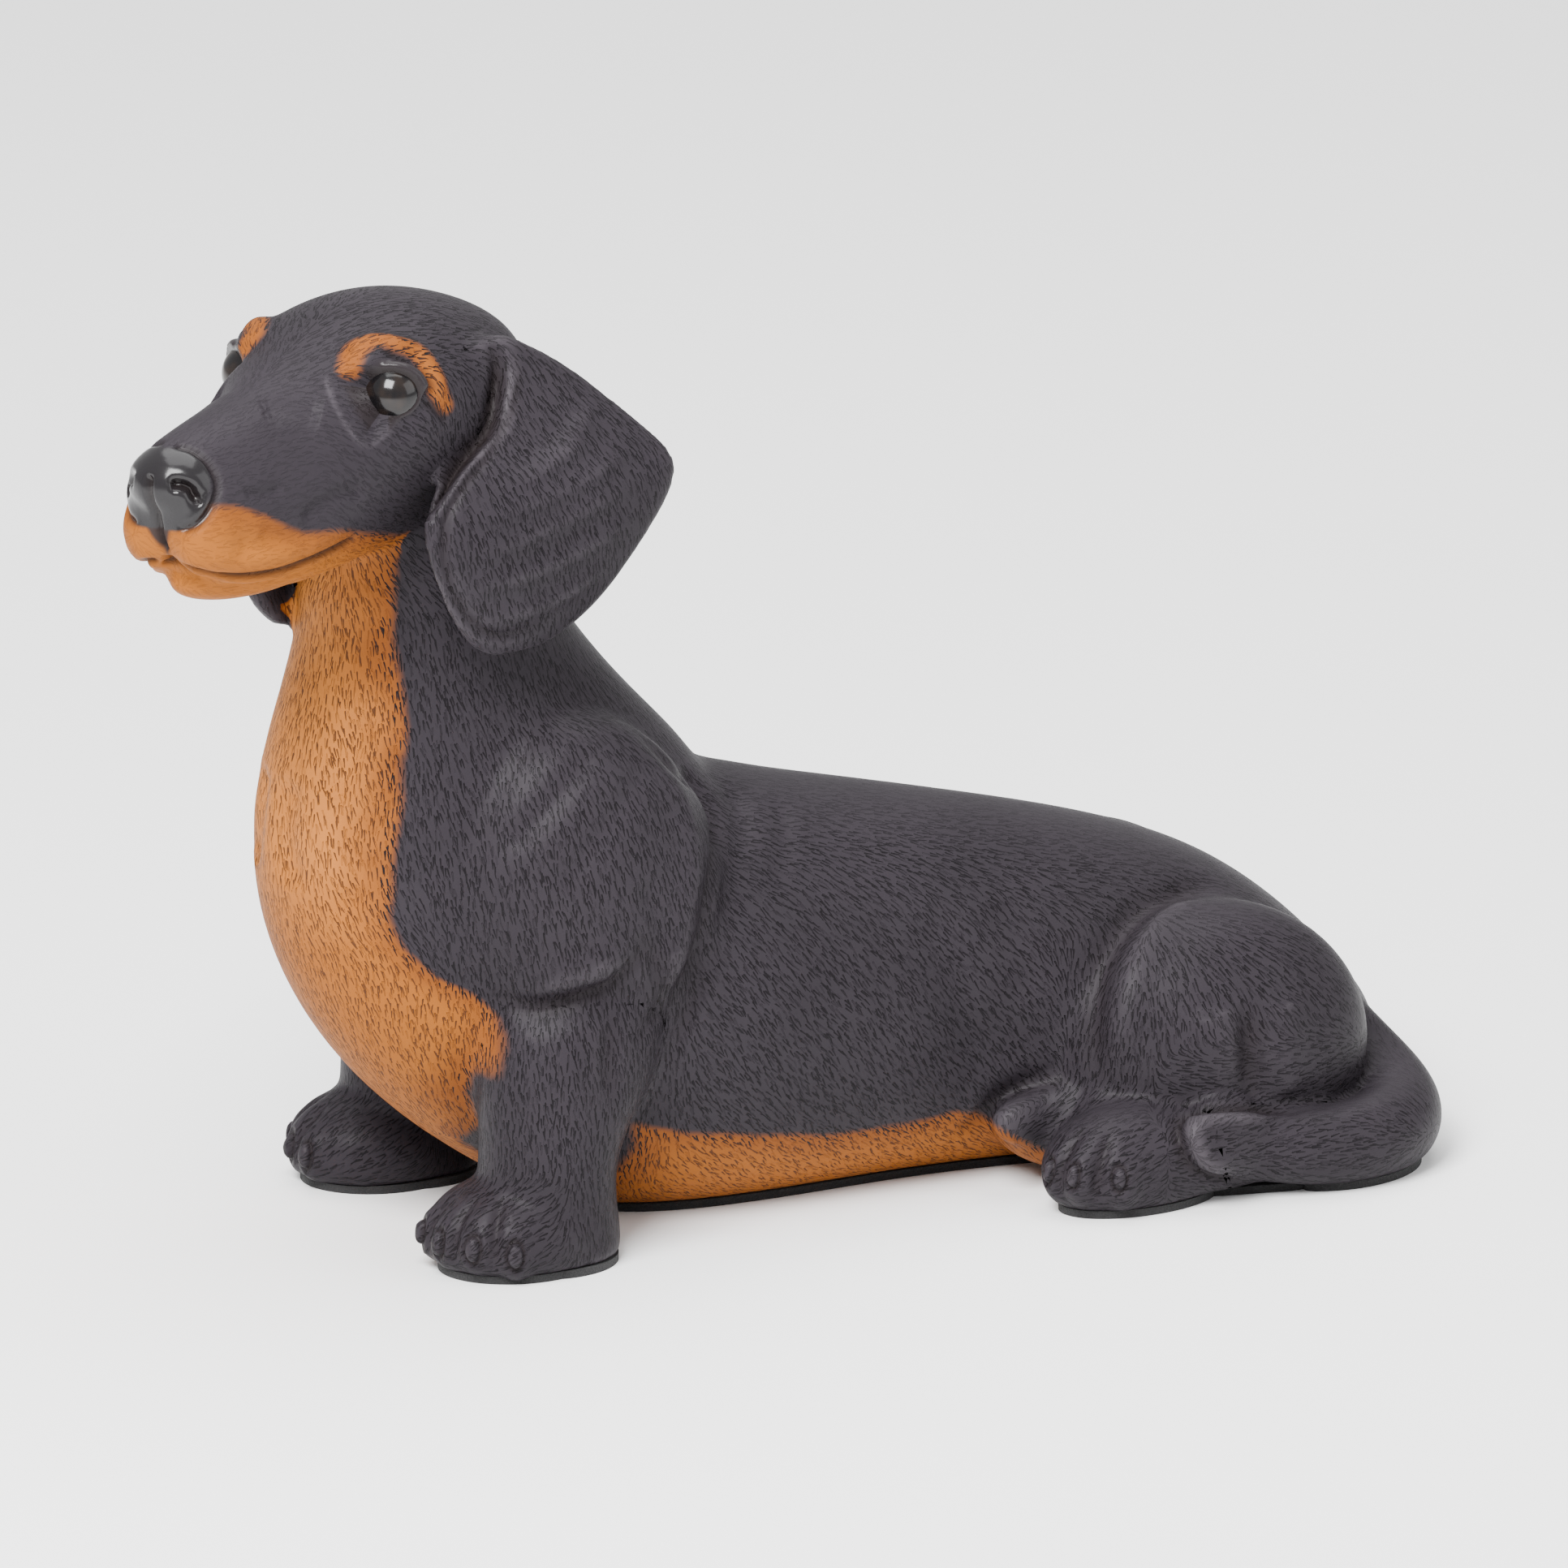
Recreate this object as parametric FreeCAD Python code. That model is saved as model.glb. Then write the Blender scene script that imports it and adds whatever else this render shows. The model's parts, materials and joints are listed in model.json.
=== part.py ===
"""Dachshund figurine in hollow slip-cast ceramic, lying with its forelegs upright.

Overall it is about 280 mm long, 121 mm wide and 196 mm tall over the felts.

The body is cast in sections that are luted together with slip before firing: torso, head, ears, forelegs,
hind feet and tail. Domed glass eyes sit in pockets in the head over dark backing discs, and black felt pads
are glued under the belly and under each fore paw.

Frame, in millimetres: +Z up, the dog looks along -X, its left side is -Y. The origin is on the resting plane,
on the midline under the rib cage.
"""
import FreeCAD, Part
import math
import os

V = FreeCAD.Vector

# ---------------------------------------------------------------- driving dimensions
trunk_length = 240.0       # chest front to rump
back_height = 84.0         # resting plane to the back, just behind the withers
chest_width = 77.0         # across the rib cage
head_length = 110.0        # back of the skull to the tip of the nose
head_width = 49.0          # across the cheeks
head_height = 50.0         # jaw to crown
head_yaw = 27.0            # degrees the head is turned to the dog's left
head_roll = 4.0            # degrees the right side of the head hangs lower
wall = 5.0                 # thickness of the cast wall
felt_thickness = 1.6
vent_diameter = 14.0       # pour and vent hole in the floor of the torso
leg_vent_diameter = 5.0    # air hole through each foreleg's luting face
eye_diameter = 12.0        # glass eye
eye_clearance = 0.15       # radial gap between the glass and its pocket
eye_backing_thickness = 1.2
foreleg_track = 65.0       # between the centrelines of the fore paws
leg_diameter = 29.0        # foreleg just above the paw
paw_length = 37.0
paw_width = 31.0
paw_height = 21.0
ear_length = 62.0          # top of the fold to the lowest point of the flap
ear_width = 54.0
ear_thickness = 9.0
tail_root_diameter = 20.0
tail_tip_diameter = 11.0
tail_side_offset = 54.0    # from the midline to the tail where it lies beside the thigh
hind_foot_length = 42.0
hind_foot_width = 25.0
hind_foot_height = 22.0

floor_z = felt_thickness   # underside of every cast section


# ---------------------------------------------------------------- frames and small helpers
def x_at(share):
    """X of a station, as a share of the trunk's length from the origin."""
    return share * trunk_length


def z_at(share):
    """Z of a station, as a share of the back's height."""
    return share * back_height


def y_at(share):
    """Y of a station, as a share of half the chest's width."""
    return share * chest_width / 2.0


def ring(centre, half_a, half_b, fullness=0.0):
    """Closed smooth section: an oval on two half axes. Fullness widens it towards the tip of half_a."""
    points = []
    steps = 12
    for i in range(steps):
        turn = 2.0 * math.pi * i / steps
        along = math.cos(turn)
        across = math.sin(turn) * (1.0 + fullness * along)
        points.append(centre + half_a * along + half_b * across)
    curve = Part.BSplineCurve()
    knots = [i / steps for i in range(steps + 1)]
    curve.interpolate(Points=points, PeriodicFlag=True, Parameters=knots)
    return Part.Wire([curve.toShape()])


def loft(rings):
    """Solid skinned over the rings; a long run that will not skin in one is skinned in two that share a ring."""
    try:
        return Part.makeLoft(rings, True, False)
    except Part.OCCError:
        shared = len(rings) // 2 + 1
        first = Part.makeLoft(rings[:shared + 1], True, False)
        second = Part.makeLoft(rings[shared:], True, False)
        return join(first, second)


def pod(centre, radii, turn=0.0, tilt=0.0):
    """Egg-shaped lump along X, its tips flattened; turned about Z and tilted about Y, in degrees."""
    placing = FreeCAD.Rotation(V(0, 0, 1), turn).multiply(FreeCAD.Rotation(V(0, 1, 0), tilt))
    along = placing.multVec(V(1, 0, 0))
    across = placing.multVec(V(0, 1, 0))
    upright = placing.multVec(V(0, 0, 1))
    rings = []
    for degrees in range(-80, 81, 20):
        shift = math.sin(math.radians(degrees)) * radii[0]
        size = math.cos(math.radians(degrees))
        rings.append(ring(centre + along * shift, upright * (radii[2] * size), across * (radii[1] * size)))
    return loft(rings)


def above(shape, height):
    """Keeps what is higher than a level."""
    reach = 4.0 * trunk_length
    block = Part.makeBox(reach, reach, reach, V(-reach / 2, -reach / 2, height))
    return shape.common(block)


def above_floor(shape):
    """Keeps what is above the underside of the casting."""
    return above(shape, floor_z)


def join(first, second):
    """Fuses two solids, nudging the second by hundredths of a millimetre where their skins meet badly."""
    for nudge in (0.0, 0.02, -0.03, 0.05, -0.08):
        moved = second.copy()
        moved.translate(V(nudge, nudge, nudge))
        fused = first.fuse(moved)
        expected = first.Volume + moved.Volume - first.common(moved).Volume
        if len(fused.Solids) == 1 and fused.isValid() and abs(fused.Volume / expected - 1.0) < 0.002:
            return fused.Solids[0]
    raise ValueError("two casting forms do not fuse")


def biggest(shape):
    """The main solid of a cut, without slivers."""
    return max(shape.Solids, key=lambda solid: solid.Volume)


# ---------------------------------------------------------------- trunk: rump to neck
# belly or chest point x, z; back point x, z; half width; fullness towards the back
TRUNK = [
    ((0.515, 0.04), (0.512, 0.30), 0.34, 0.0),     # rump
    ((0.480, -0.04), (0.468, 0.44), 0.72, 0.0),
    ((0.415, -0.07), (0.400, 0.61), 0.94, 0.0),
    ((0.310, -0.06), (0.302, 0.745), 0.95, 0.05),   # hips
    ((0.185, -0.035), (0.180, 0.85), 0.86, 0.05),   # loin
    ((0.060, -0.025), (0.068, 0.93), 0.90, 0.05),
    ((-0.065, -0.03), (-0.004, 0.98), 0.97, 0.05),  # ribs
    ((-0.188, 0.01), (-0.044, 1.012), 1.00, 0.05),
    ((-0.300, 0.17), (-0.078, 1.048), 1.00, 0.03),
    ((-0.402, 0.44), (-0.102, 1.125), 0.97, 0.0),
    ((-0.460, 0.78), (-0.134, 1.226), 0.90, 0.0),  # breast and withers
    ((-0.463, 1.09), (-0.168, 1.335), 0.77, 0.0),
    ((-0.441, 1.335), (-0.199, 1.45), 0.665, 0.0),
    ((-0.428, 1.55), (-0.220, 1.58), 0.60, 0.0),   # luting plane under the jaw
    ((-0.420, 1.78), (-0.222, 1.80), 0.57, 0.0),   # inside the skull
]
NECK_JOINT = 13            # the station whose plane parts torso and head


def trunk_ring(index, inset=0.0):
    (belly_x, belly_z), (back_x, back_z), half_width, fullness = TRUNK[index]
    belly = V(x_at(belly_x), 0, z_at(belly_z))
    back = V(x_at(back_x), 0, z_at(back_z))
    half_a = (back - belly) * 0.5
    centre = belly + half_a
    half_a = half_a * ((half_a.Length - inset) / half_a.Length)
    return ring(centre, half_a, V(0, y_at(half_width) - inset, 0), fullness)


def trunk_form(first, last, inset=0.0):
    return loft([trunk_ring(i, inset) for i in range(first, last + 1)])


neck_front = V(x_at(TRUNK[NECK_JOINT][0][0]), 0, z_at(TRUNK[NECK_JOINT][0][1]))
neck_back = V(x_at(TRUNK[NECK_JOINT][1][0]), 0, z_at(TRUNK[NECK_JOINT][1][1]))
neck_centre = (neck_front + neck_back) * 0.5

# ---------------------------------------------------------------- head frame
yaw = math.radians(head_yaw)
roll = math.radians(head_roll)
HEAD_F = V(-math.cos(yaw), -math.sin(yaw), 0)      # towards the nose
level_right = V(-math.sin(yaw), math.cos(yaw), 0)
HEAD_R = level_right * math.cos(roll) - V(0, 0, 1) * math.sin(roll)   # towards the dog's right
HEAD_U = V(0, 0, 1) * math.cos(roll) + level_right * math.sin(roll)   # towards the crown
eye_line = V(neck_centre.x, 0, neck_centre.z) + HEAD_F * (0.30 * head_length) + V(0, 0, 0.98 * head_height)


def head_point(t, side, up):
    """A point t ahead of, side to the right of and up from the middle of the eye line."""
    return eye_line + HEAD_F * t + HEAD_R * side + HEAD_U * up


# share of the head's length ahead of the eye line; jaw and crown as shares of its height;
# half width as a share of half the head's width; fullness towards the crown
HEAD = [
    (-0.47, -0.20, -0.04, 0.34, 0.0),
    (-0.42, -0.42, 0.08, 0.62, 0.0),    # occiput
    (-0.31, -0.60, 0.20, 0.88, 0.05),
    (-0.16, -0.70, 0.27, 1.00, 0.15),   # crown
    (-0.02, -0.74, 0.23, 0.95, 0.28),   # brow
    (0.09, -0.75, 0.14, 0.80, 0.15),    # stop
    (0.21, -0.73, 0.05, 0.66, -0.05),
    (0.33, -0.66, 0.00, 0.57, -0.10),
    (0.40, -0.57, -0.03, 0.49, -0.10),  # lips under the nose
    (0.447, -0.47, -0.06, 0.38, -0.05),
    (0.470, -0.36, -0.13, 0.22, 0.0),   # nose
]


def head_ring(station, inset=0.0):
    share, jaw, crown, half_width, fullness = station
    half_up = (crown - jaw) * head_height / 2.0
    middle = (crown + jaw) * head_height / 2.0
    centre = head_point(share * head_length, 0, middle)
    half_across = half_width * head_width / 2.0
    return ring(centre, HEAD_U * (half_up - inset), HEAD_R * (half_across - inset), fullness)


def head_form():
    return loft([head_ring(station) for station in HEAD])


def skull_cavity():
    return loft([head_ring(station, wall) for station in HEAD[1:9]])


# ---------------------------------------------------------------- limbs
foreleg_x = x_at(-0.275)
# offset back and towards the midline, half length and half width as shares of the leg's diameter; height
FORELEG = [
    (0.46, 0.30, 0.50, 0.30, 0.84 * back_height),
    (0.34, 0.18, 0.62, 0.42, 0.72 * back_height),
    (0.22, 0.04, 0.64, 0.47, 0.58 * back_height),
    (0.10, 0.00, 0.58, 0.48, 0.41 * back_height),
    (0.02, 0.00, 0.49, 0.47, 1.2 * paw_height),
    (-0.02, 0.00, 0.47, 0.46, 0.6 * paw_height),
    (-0.02, 0.00, 0.45, 0.46, -0.1 * paw_height),
]


def foreleg_column(side, inset=0.0, first=0):
    rings = []
    for shift, inward, half_long, half_wide, height in FORELEG[first:]:
        out = foreleg_track / 2.0 - inward * leg_diameter
        centre = V(foreleg_x + shift * leg_diameter, side * out, height)
        along = V(half_long * leg_diameter - inset, 0, 0)
        across = V(0, half_wide * leg_diameter - inset, 0)
        rings.append(ring(centre, along, across))
    return loft(rings)


def foreleg_form(side):
    """Leg from inside the shoulder down to the paw; side is -1 for the dog's left."""
    centre = V(foreleg_x - 0.185 * paw_length, side * foreleg_track / 2.0, 0.34 * paw_height)
    paw = pod(centre, (paw_length / 2.0, paw_width / 2.0, 0.53 * paw_height))
    return above_floor(join(foreleg_column(side), paw))


def hind_foot_form(side):
    centre = V(x_at(0.23), side * y_at(1.20), 0.38 * hind_foot_height)
    radii = (hind_foot_length / 2.0, hind_foot_width / 2.0, 0.55 * hind_foot_height)
    return pod(centre, radii, turn=side * -8)


def haunch_forms(side):
    thigh_centre = V(x_at(0.325), side * y_at(0.80), z_at(0.31))
    thigh = pod(thigh_centre, (x_at(0.138), y_at(0.58), z_at(0.335)), tilt=10)
    knee_centre = V(x_at(0.225), side * y_at(0.72), z_at(0.17))
    knee = pod(knee_centre, (x_at(0.090), y_at(0.36), z_at(0.15)), turn=side * 6)
    return [thigh, knee]


def shoulder_form(side):
    centre = V(x_at(-0.232), side * y_at(0.66), z_at(0.86))
    return pod(centre, (x_at(0.120), y_at(0.52), z_at(0.44)), tilt=-12)


# ---------------------------------------------------------------- tail
# x share, share of the side offset, height share, heading, radius as a share from the tip's to the root's
TAIL = [
    (0.435, 0.05, 0.30, V(-0.6, 1, 0.3), 1.0),
    (0.475, 0.25, 0.21, V(-0.9, 1, 0.2), 1.0),
    (0.480, 0.60, 0.13, V(0, 1, 0), 0.85),
    (0.458, 0.88, 0.10, V(0.8, 1, 0), 0.70),
    (0.412, 1.00, 0.10, V(1, 0.3, 0), 0.55),
    (0.355, 1.00, 0.11, V(1, -0.1, 0), 0.40),
    (0.300, 0.95, 0.14, V(1, -0.3, -0.1), 0.15),
    (0.283, 0.93, 0.15, V(1, -0.3, -0.1), -0.25),
]


def tail_form():
    """Tapered tail from the rump, round the left thigh and forwards beside it."""
    rings = []
    for along, out, height, heading, share in TAIL:
        centre = V(x_at(along), -out * tail_side_offset, z_at(height))
        radius = (tail_tip_diameter + (tail_root_diameter - tail_tip_diameter) * share) / 2.0
        across = heading.cross(V(0, 0, 1))
        across.normalize()
        upright = across.cross(heading)
        upright.normalize()
        rings.append(ring(centre, upright * radius, across * radius))
    return loft(rings)


# ---------------------------------------------------------------- ears
# share of the ear's length below its top; centre behind the ear's root and half width as shares of its width;
# distance from the head's middle as a share of the head's width; thickness share
EAR = [
    (0.00, -0.171, 0.11, 0.42, 0.5),
    (0.10, -0.071, 0.185, 0.47, 0.85),
    (0.23, -0.011, 0.27, 0.55, 1.0),
    (0.36, -0.051, 0.407, 0.64, 1.0),
    (0.48, -0.095, 0.5, 0.69, 1.0),
    (0.61, -0.141, 0.463, 0.69, 1.0),
    (0.77, -0.184, 0.357, 0.66, 0.95),
    (0.90, -0.201, 0.24, 0.61, 0.85),
    (0.98, -0.231, 0.09, 0.57, 0.45),
]
EAR_ROOT = -0.30           # shares of the head's length ahead of the eye line, right over the neck
EAR_TOP = 0.09             # share of the head's height above the eye line
EAR_FLARE = 0.35           # outward slope of the flap from front to back


def ear_form(side):
    rings = []
    for drop, back, half, out, thick in EAR:
        height = EAR_TOP * head_height - drop * ear_length
        centre = head_point(EAR_ROOT * head_length - back * ear_width, side * out * head_width, height)
        along = (HEAD_F - HEAD_R * (side * EAR_FLARE)) * (half * ear_width)
        across = HEAD_R + HEAD_F * (side * EAR_FLARE)
        across.normalize()
        rings.append(ring(centre, along, across * (thick * ear_thickness / 2.0)))
    return loft(rings)


# ---------------------------------------------------------------- hollows
def torso_cavity():
    """Hollow of the torso, open at the luting plane, with the wall's thickness left below it."""
    return above(trunk_form(1, NECK_JOINT, wall), floor_z + wall)


def foreleg_cavity(side):
    """Air space up the middle of a foreleg, ending in the luting face."""
    return above(foreleg_column(side, wall, first=2), floor_z + wall)


def foreleg_vent(side):
    """Air hole from the foreleg's hollow through the torso wall."""
    start = V(foreleg_x + 0.24 * leg_diameter, side * foreleg_track / 2.0, 0.52 * back_height)
    heading = V(0.25, -side, 0.35)
    return Part.makeCylinder(leg_vent_diameter / 2.0, 3.0 * wall, start, heading)


def floor_vent():
    return Part.makeCylinder(vent_diameter / 2.0, 2.0 * wall, V(x_at(0.12), 0, floor_z - wall / 2.0))


# ---------------------------------------------------------------- eyes
EYE_SETBACK = -0.012       # the eyes' centres stand this share of the head's length ahead of the eye line
eye_side = 0.36 * head_width
eye_radius = eye_diameter / 2.0
eye_cut = 0.55 * eye_radius            # the glass is ground flat this far behind its centre
backing_radius = 0.75 * eye_radius


def eye_centre(side):
    return head_point(EYE_SETBACK * head_length, side * eye_side, -0.02 * head_height)


def eye_axis(side):
    axis = HEAD_F * 0.62 + HEAD_R * (side * 0.76) + HEAD_U * 0.16
    axis.normalize()
    return axis


def eye_ball(side, radius):
    ball = Part.makeSphere(radius)
    ball.translate(eye_centre(side))
    cut_at = eye_centre(side) - eye_axis(side) * eye_cut
    behind = Part.makeCylinder(3.0 * eye_radius, 3.0 * eye_radius, cut_at, eye_axis(side) * -1.0)
    return biggest(ball.cut(behind))


def eye_backing(side, clearance=0.0):
    start = eye_centre(side) - eye_axis(side) * eye_cut
    radius = backing_radius + clearance
    return Part.makeCylinder(radius, eye_backing_thickness, start, eye_axis(side) * -1.0)


def eye_pocket(side):
    return eye_ball(side, eye_radius + eye_clearance).fuse(eye_backing(side, eye_clearance))


def eye_boss(side):
    """Casting left solid round the pocket."""
    boss = Part.makeSphere(eye_radius + 0.7 * wall)
    boss.translate(eye_centre(side) - eye_axis(side) * (0.2 * eye_radius))
    return boss


# ---------------------------------------------------------------- felt
def felt_under(shape):
    """Felt sheet glued to the flat underside of a casting, cut along its outline."""
    sheets = []
    for face in shape.Faces:
        box = face.BoundBox
        if box.ZMax - floor_z < 0.01 and floor_z - box.ZMin < 0.01:
            sheets.append(Part.Face(face.OuterWire).extrude(V(0, 0, -felt_thickness)))
    return sheets


def tail_bridge():
    """The belly's felt runs on between the thigh, the hind foot and the tail."""
    corners = [V(x_at(0.23), -y_at(1.20), 0)]
    for along, out, height, heading, share in reversed(TAIL[2:7]):
        corners.append(V(x_at(along), -out * tail_side_offset, 0))
    corners += [V(x_at(0.42), 0, 0), V(x_at(0.25), 0, 0), corners[0]]
    return Part.Face(Part.makePolygon(corners)).extrude(V(0, 0, felt_thickness))


def foot_bridge(side):
    """It also runs on under each thigh to the hind foot."""
    corners = [V(x_at(0.23), side * y_at(1.20), 0), V(x_at(0.35), side * y_at(0.90), 0)]
    corners += [V(x_at(0.35), 0, 0), V(x_at(0.22), 0, 0), corners[0]]
    return Part.Face(Part.makePolygon(corners)).extrude(V(0, 0, felt_thickness))


def one_sheet(shapes, extra=()):
    sheets = list(extra)
    for shape in shapes:
        sheets += felt_under(shape)
    joined = sheets[0]
    if len(sheets) > 1:
        joined = joined.multiFuse(sheets[1:])
    return joined.removeSplitter()


# ---------------------------------------------------------------- build
trunk = trunk_form(0, NECK_JOINT)
neck_stub = trunk_form(NECK_JOINT, len(TRUNK) - 1)
stub_cavity = loft([trunk_ring(i, wall) for i in range(NECK_JOINT, len(TRUNK))])
torso_outer = trunk
for side in (-1, 1):
    for lump in haunch_forms(side) + [shoulder_form(side)]:
        torso_outer = join(torso_outer, lump)
torso_outer = above_floor(torso_outer)
head_outer = join(neck_stub, head_form())

head_hollow = skull_cavity().fuse(stub_cavity)
for side in (-1, 1):
    head_hollow = head_hollow.cut(eye_boss(side))
head = head_outer.cut(head_hollow)
torso = torso_outer.cut(torso_cavity()).cut(floor_vent())

solids = {}
feet = []
for side, name in ((-1, "left"), (1, "right")):
    head = head.cut(eye_pocket(side))
    solids[name + "_eye_glass"] = eye_ball(side, eye_radius)
    solids[name + "_eye_backing"] = eye_backing(side)
    torso = torso.cut(foreleg_vent(side))
    leg_outer = foreleg_form(side).cut(torso_outer)
    solids[name + "_foreleg"] = biggest(leg_outer.cut(foreleg_cavity(side)))
    solids[name + "_paw_felt"] = one_sheet([leg_outer])
    solids[name + "_hind_foot"] = biggest(above_floor(hind_foot_form(side)).cut(torso_outer))
    feet.append(solids[name + "_hind_foot"])
    solids[name + "_ear"] = biggest(ear_form(side).cut(head_outer).cut(torso_outer))
solids["tail"] = biggest(above_floor(tail_form()).cut(torso_outer).cut(solids["left_hind_foot"]))
solids["torso"] = biggest(torso)
solids["head"] = biggest(head)
bridges = [tail_bridge(), foot_bridge(-1), foot_bridge(1)]
solids["base_felt"] = one_sheet([torso_outer, solids["tail"]] + feet, bridges)

os.makedirs("parts", exist_ok=True)
for name, shape in solids.items():
    shape.exportStep("parts/" + name + ".step")
    print(name, len(shape.Solids), round(shape.Volume / 1000.0, 2), "cm3", shape.isValid())
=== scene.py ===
"""Looks of the ceramic dog figurine as an add-on: its painted body, glass eyes, felts and studio."""

import json
import math

import bpy
import numpy as np
from mathutils import Matrix, Vector
from mathutils.bvhtree import BVHTree

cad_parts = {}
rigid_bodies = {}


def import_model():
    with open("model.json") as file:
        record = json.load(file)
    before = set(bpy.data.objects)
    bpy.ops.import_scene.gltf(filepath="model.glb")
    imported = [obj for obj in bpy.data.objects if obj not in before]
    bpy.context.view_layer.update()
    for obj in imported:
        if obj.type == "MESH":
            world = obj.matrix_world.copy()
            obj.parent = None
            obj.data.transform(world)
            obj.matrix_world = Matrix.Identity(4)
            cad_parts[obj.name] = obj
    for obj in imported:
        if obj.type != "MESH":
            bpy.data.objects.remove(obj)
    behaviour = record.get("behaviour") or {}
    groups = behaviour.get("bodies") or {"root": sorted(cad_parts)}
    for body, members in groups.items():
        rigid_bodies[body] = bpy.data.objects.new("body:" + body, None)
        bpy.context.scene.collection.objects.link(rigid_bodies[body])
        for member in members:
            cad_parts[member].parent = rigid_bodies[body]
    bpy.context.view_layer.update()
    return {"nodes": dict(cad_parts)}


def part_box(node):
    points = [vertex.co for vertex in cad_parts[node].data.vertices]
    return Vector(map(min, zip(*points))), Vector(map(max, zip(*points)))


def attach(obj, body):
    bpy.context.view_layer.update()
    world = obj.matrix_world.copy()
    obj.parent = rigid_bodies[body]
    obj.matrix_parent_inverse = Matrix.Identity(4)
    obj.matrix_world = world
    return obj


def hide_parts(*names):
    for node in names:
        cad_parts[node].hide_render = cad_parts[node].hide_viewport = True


bl_info = {
    "name": "Ceramic dog figurine",
    "version": (1, 0, 0),
    "blender": (4, 5, 0),
    "location": "3D View > Sidebar > Figurine",
    "description": "Builds the painted ceramic dog figurine over its CAD frame",
    "category": "Object",
}

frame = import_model()
MM = 0.001
EYE = (-1.3, 17.6, -1.0)    # centre of the right eye in the head's frame, millimetres
EYE_RADIUS = 6.0
CAST_NODES = ["torso", "head", "left_ear", "right_ear", "left_foreleg", "right_foreleg",
              "left_hind_foot", "right_hind_foot", "tail"]
SIDES = {-1: "left", 1: "right"}


# -------------------- settings
def length(name, text, default, **more):
    return bpy.props.FloatProperty(name=name, description=text, default=default, unit="LENGTH", **more)


def colour(name, text, default):
    return bpy.props.FloatVectorProperty(name=name, description=text, default=default, subtype="COLOR",
                                         size=3, min=0.0, max=1.0)


class BodySettings(bpy.types.PropertyGroup):
    voxel: length("Skin grid", "Spacing of the body's skin", 0.0010)
    overlap: length("Luting overlap", "How far each section is let into its neighbour", 0.0003)
    groove: bpy.props.FloatProperty(name="Groove depth", default=1.0, min=0.0,
                                    description="Scale of every engraved fold and crease")


class PaintSettings(bpy.types.PropertyGroup):
    black: colour("Coat", "Airbrushed coat colour", (0.022, 0.0185, 0.0225))
    tan: colour("Tan", "Colour of the tan markings", (0.25, 0.080, 0.012))
    # pale tan: a painted highlight higher up on chest and throat, and the brows' tan
    tan_pale: colour("Pale tan", "Tan of the chest, throat and brows", (0.36, 0.125, 0.024))
    tan_deep: colour("Deep tan", "Tan along the edge of the markings", (0.165, 0.049, 0.009))
    stroke_depth: length("Stroke depth", "Depth of the engraved coat lines", 0.00030)
    roughness: bpy.props.FloatProperty(name="Roughness", description="Roughness of the matte paint",
                                       default=0.47, min=0.0, max=1.0)


class StageSettings(bpy.types.PropertyGroup):
    azimuth: bpy.props.FloatProperty(name="Azimuth", description="Camera direction round the figurine",
                                     default=math.radians(-25.0), subtype="ANGLE")
    elevation: bpy.props.FloatProperty(name="Elevation", description="Camera height over the horizon",
                                       default=math.radians(17.0), subtype="ANGLE")
    distance: length("Distance", "Camera to the aim point", 10.3)
    lens: bpy.props.FloatProperty(name="Lens", description="Focal length", default=1200.0, min=1.0)
    aim: bpy.props.FloatVectorProperty(name="Aim", description="Point the camera looks at",
                                       default=(0.0094, 0.0202, 0.0730), subtype="TRANSLATION")


# -------------------- frames on the figurine
def box_centre(node):
    lo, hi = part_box(node)
    return (np.array(lo) + np.array(hi)) / 2.0


class Head:
    """The head's own frame: t towards the nose, s to the dog's right, u to the crown, in millimetres."""
    yaw, roll = math.radians(27.0), math.radians(4.0)
    forward = np.array([-math.cos(yaw), -math.sin(yaw), 0.0])
    level = np.array([-math.sin(yaw), math.cos(yaw), 0.0])
    right = level * math.cos(roll) - np.array([0, 0, math.sin(roll)])
    up = np.array([0, 0, math.cos(roll)]) + level * math.sin(roll)
    centre = (box_centre("left_eye_glass") + box_centre("right_eye_glass")) / (2.0 * MM)
    origin = centre - forward * EYE[0] - up * EYE[2]

    @classmethod
    def place(cls, t, s, u):
        return cls.origin + cls.forward * t + cls.right * s + cls.up * u

    @classmethod
    def local(cls, points):
        d = points - cls.origin
        return d @ cls.forward, d @ cls.right, d @ cls.up


def eye_centre(side):
    return Head.place(EYE[0], side * EYE[1], EYE[2])


# -------------------- small tools
def deselect():
    bpy.ops.object.select_all(action="DESELECT")


def activate(obj, others=()):
    deselect()
    for other in others:
        other.select_set(True)
    obj.select_set(True)
    bpy.context.view_layer.objects.active = obj


def add_modifier(obj, kind, **values):
    activate(obj)
    bpy.ops.object.modifier_add(type=kind)
    modifier = obj.modifiers[-1]
    for key, value in values.items():
        setattr(modifier, key, value)
    return modifier


def apply_modifier(obj, kind, **values):
    modifier = add_modifier(obj, kind, **values)
    bpy.ops.object.modifier_apply(modifier=modifier.name)


def points_of(obj):
    co = np.empty(len(obj.data.vertices) * 3)
    obj.data.vertices.foreach_get("co", co)
    return co.reshape(-1, 3) / MM


def vertex_normals(obj):
    n = np.empty(len(obj.data.vertices) * 3, dtype=np.float32)
    obj.data.vertex_normals.foreach_get("vector", n)
    return n.reshape(-1, 3).astype(float)


def set_points(obj, points):
    obj.data.vertices.foreach_set("co", (points * MM).ravel())
    obj.data.update()


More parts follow.
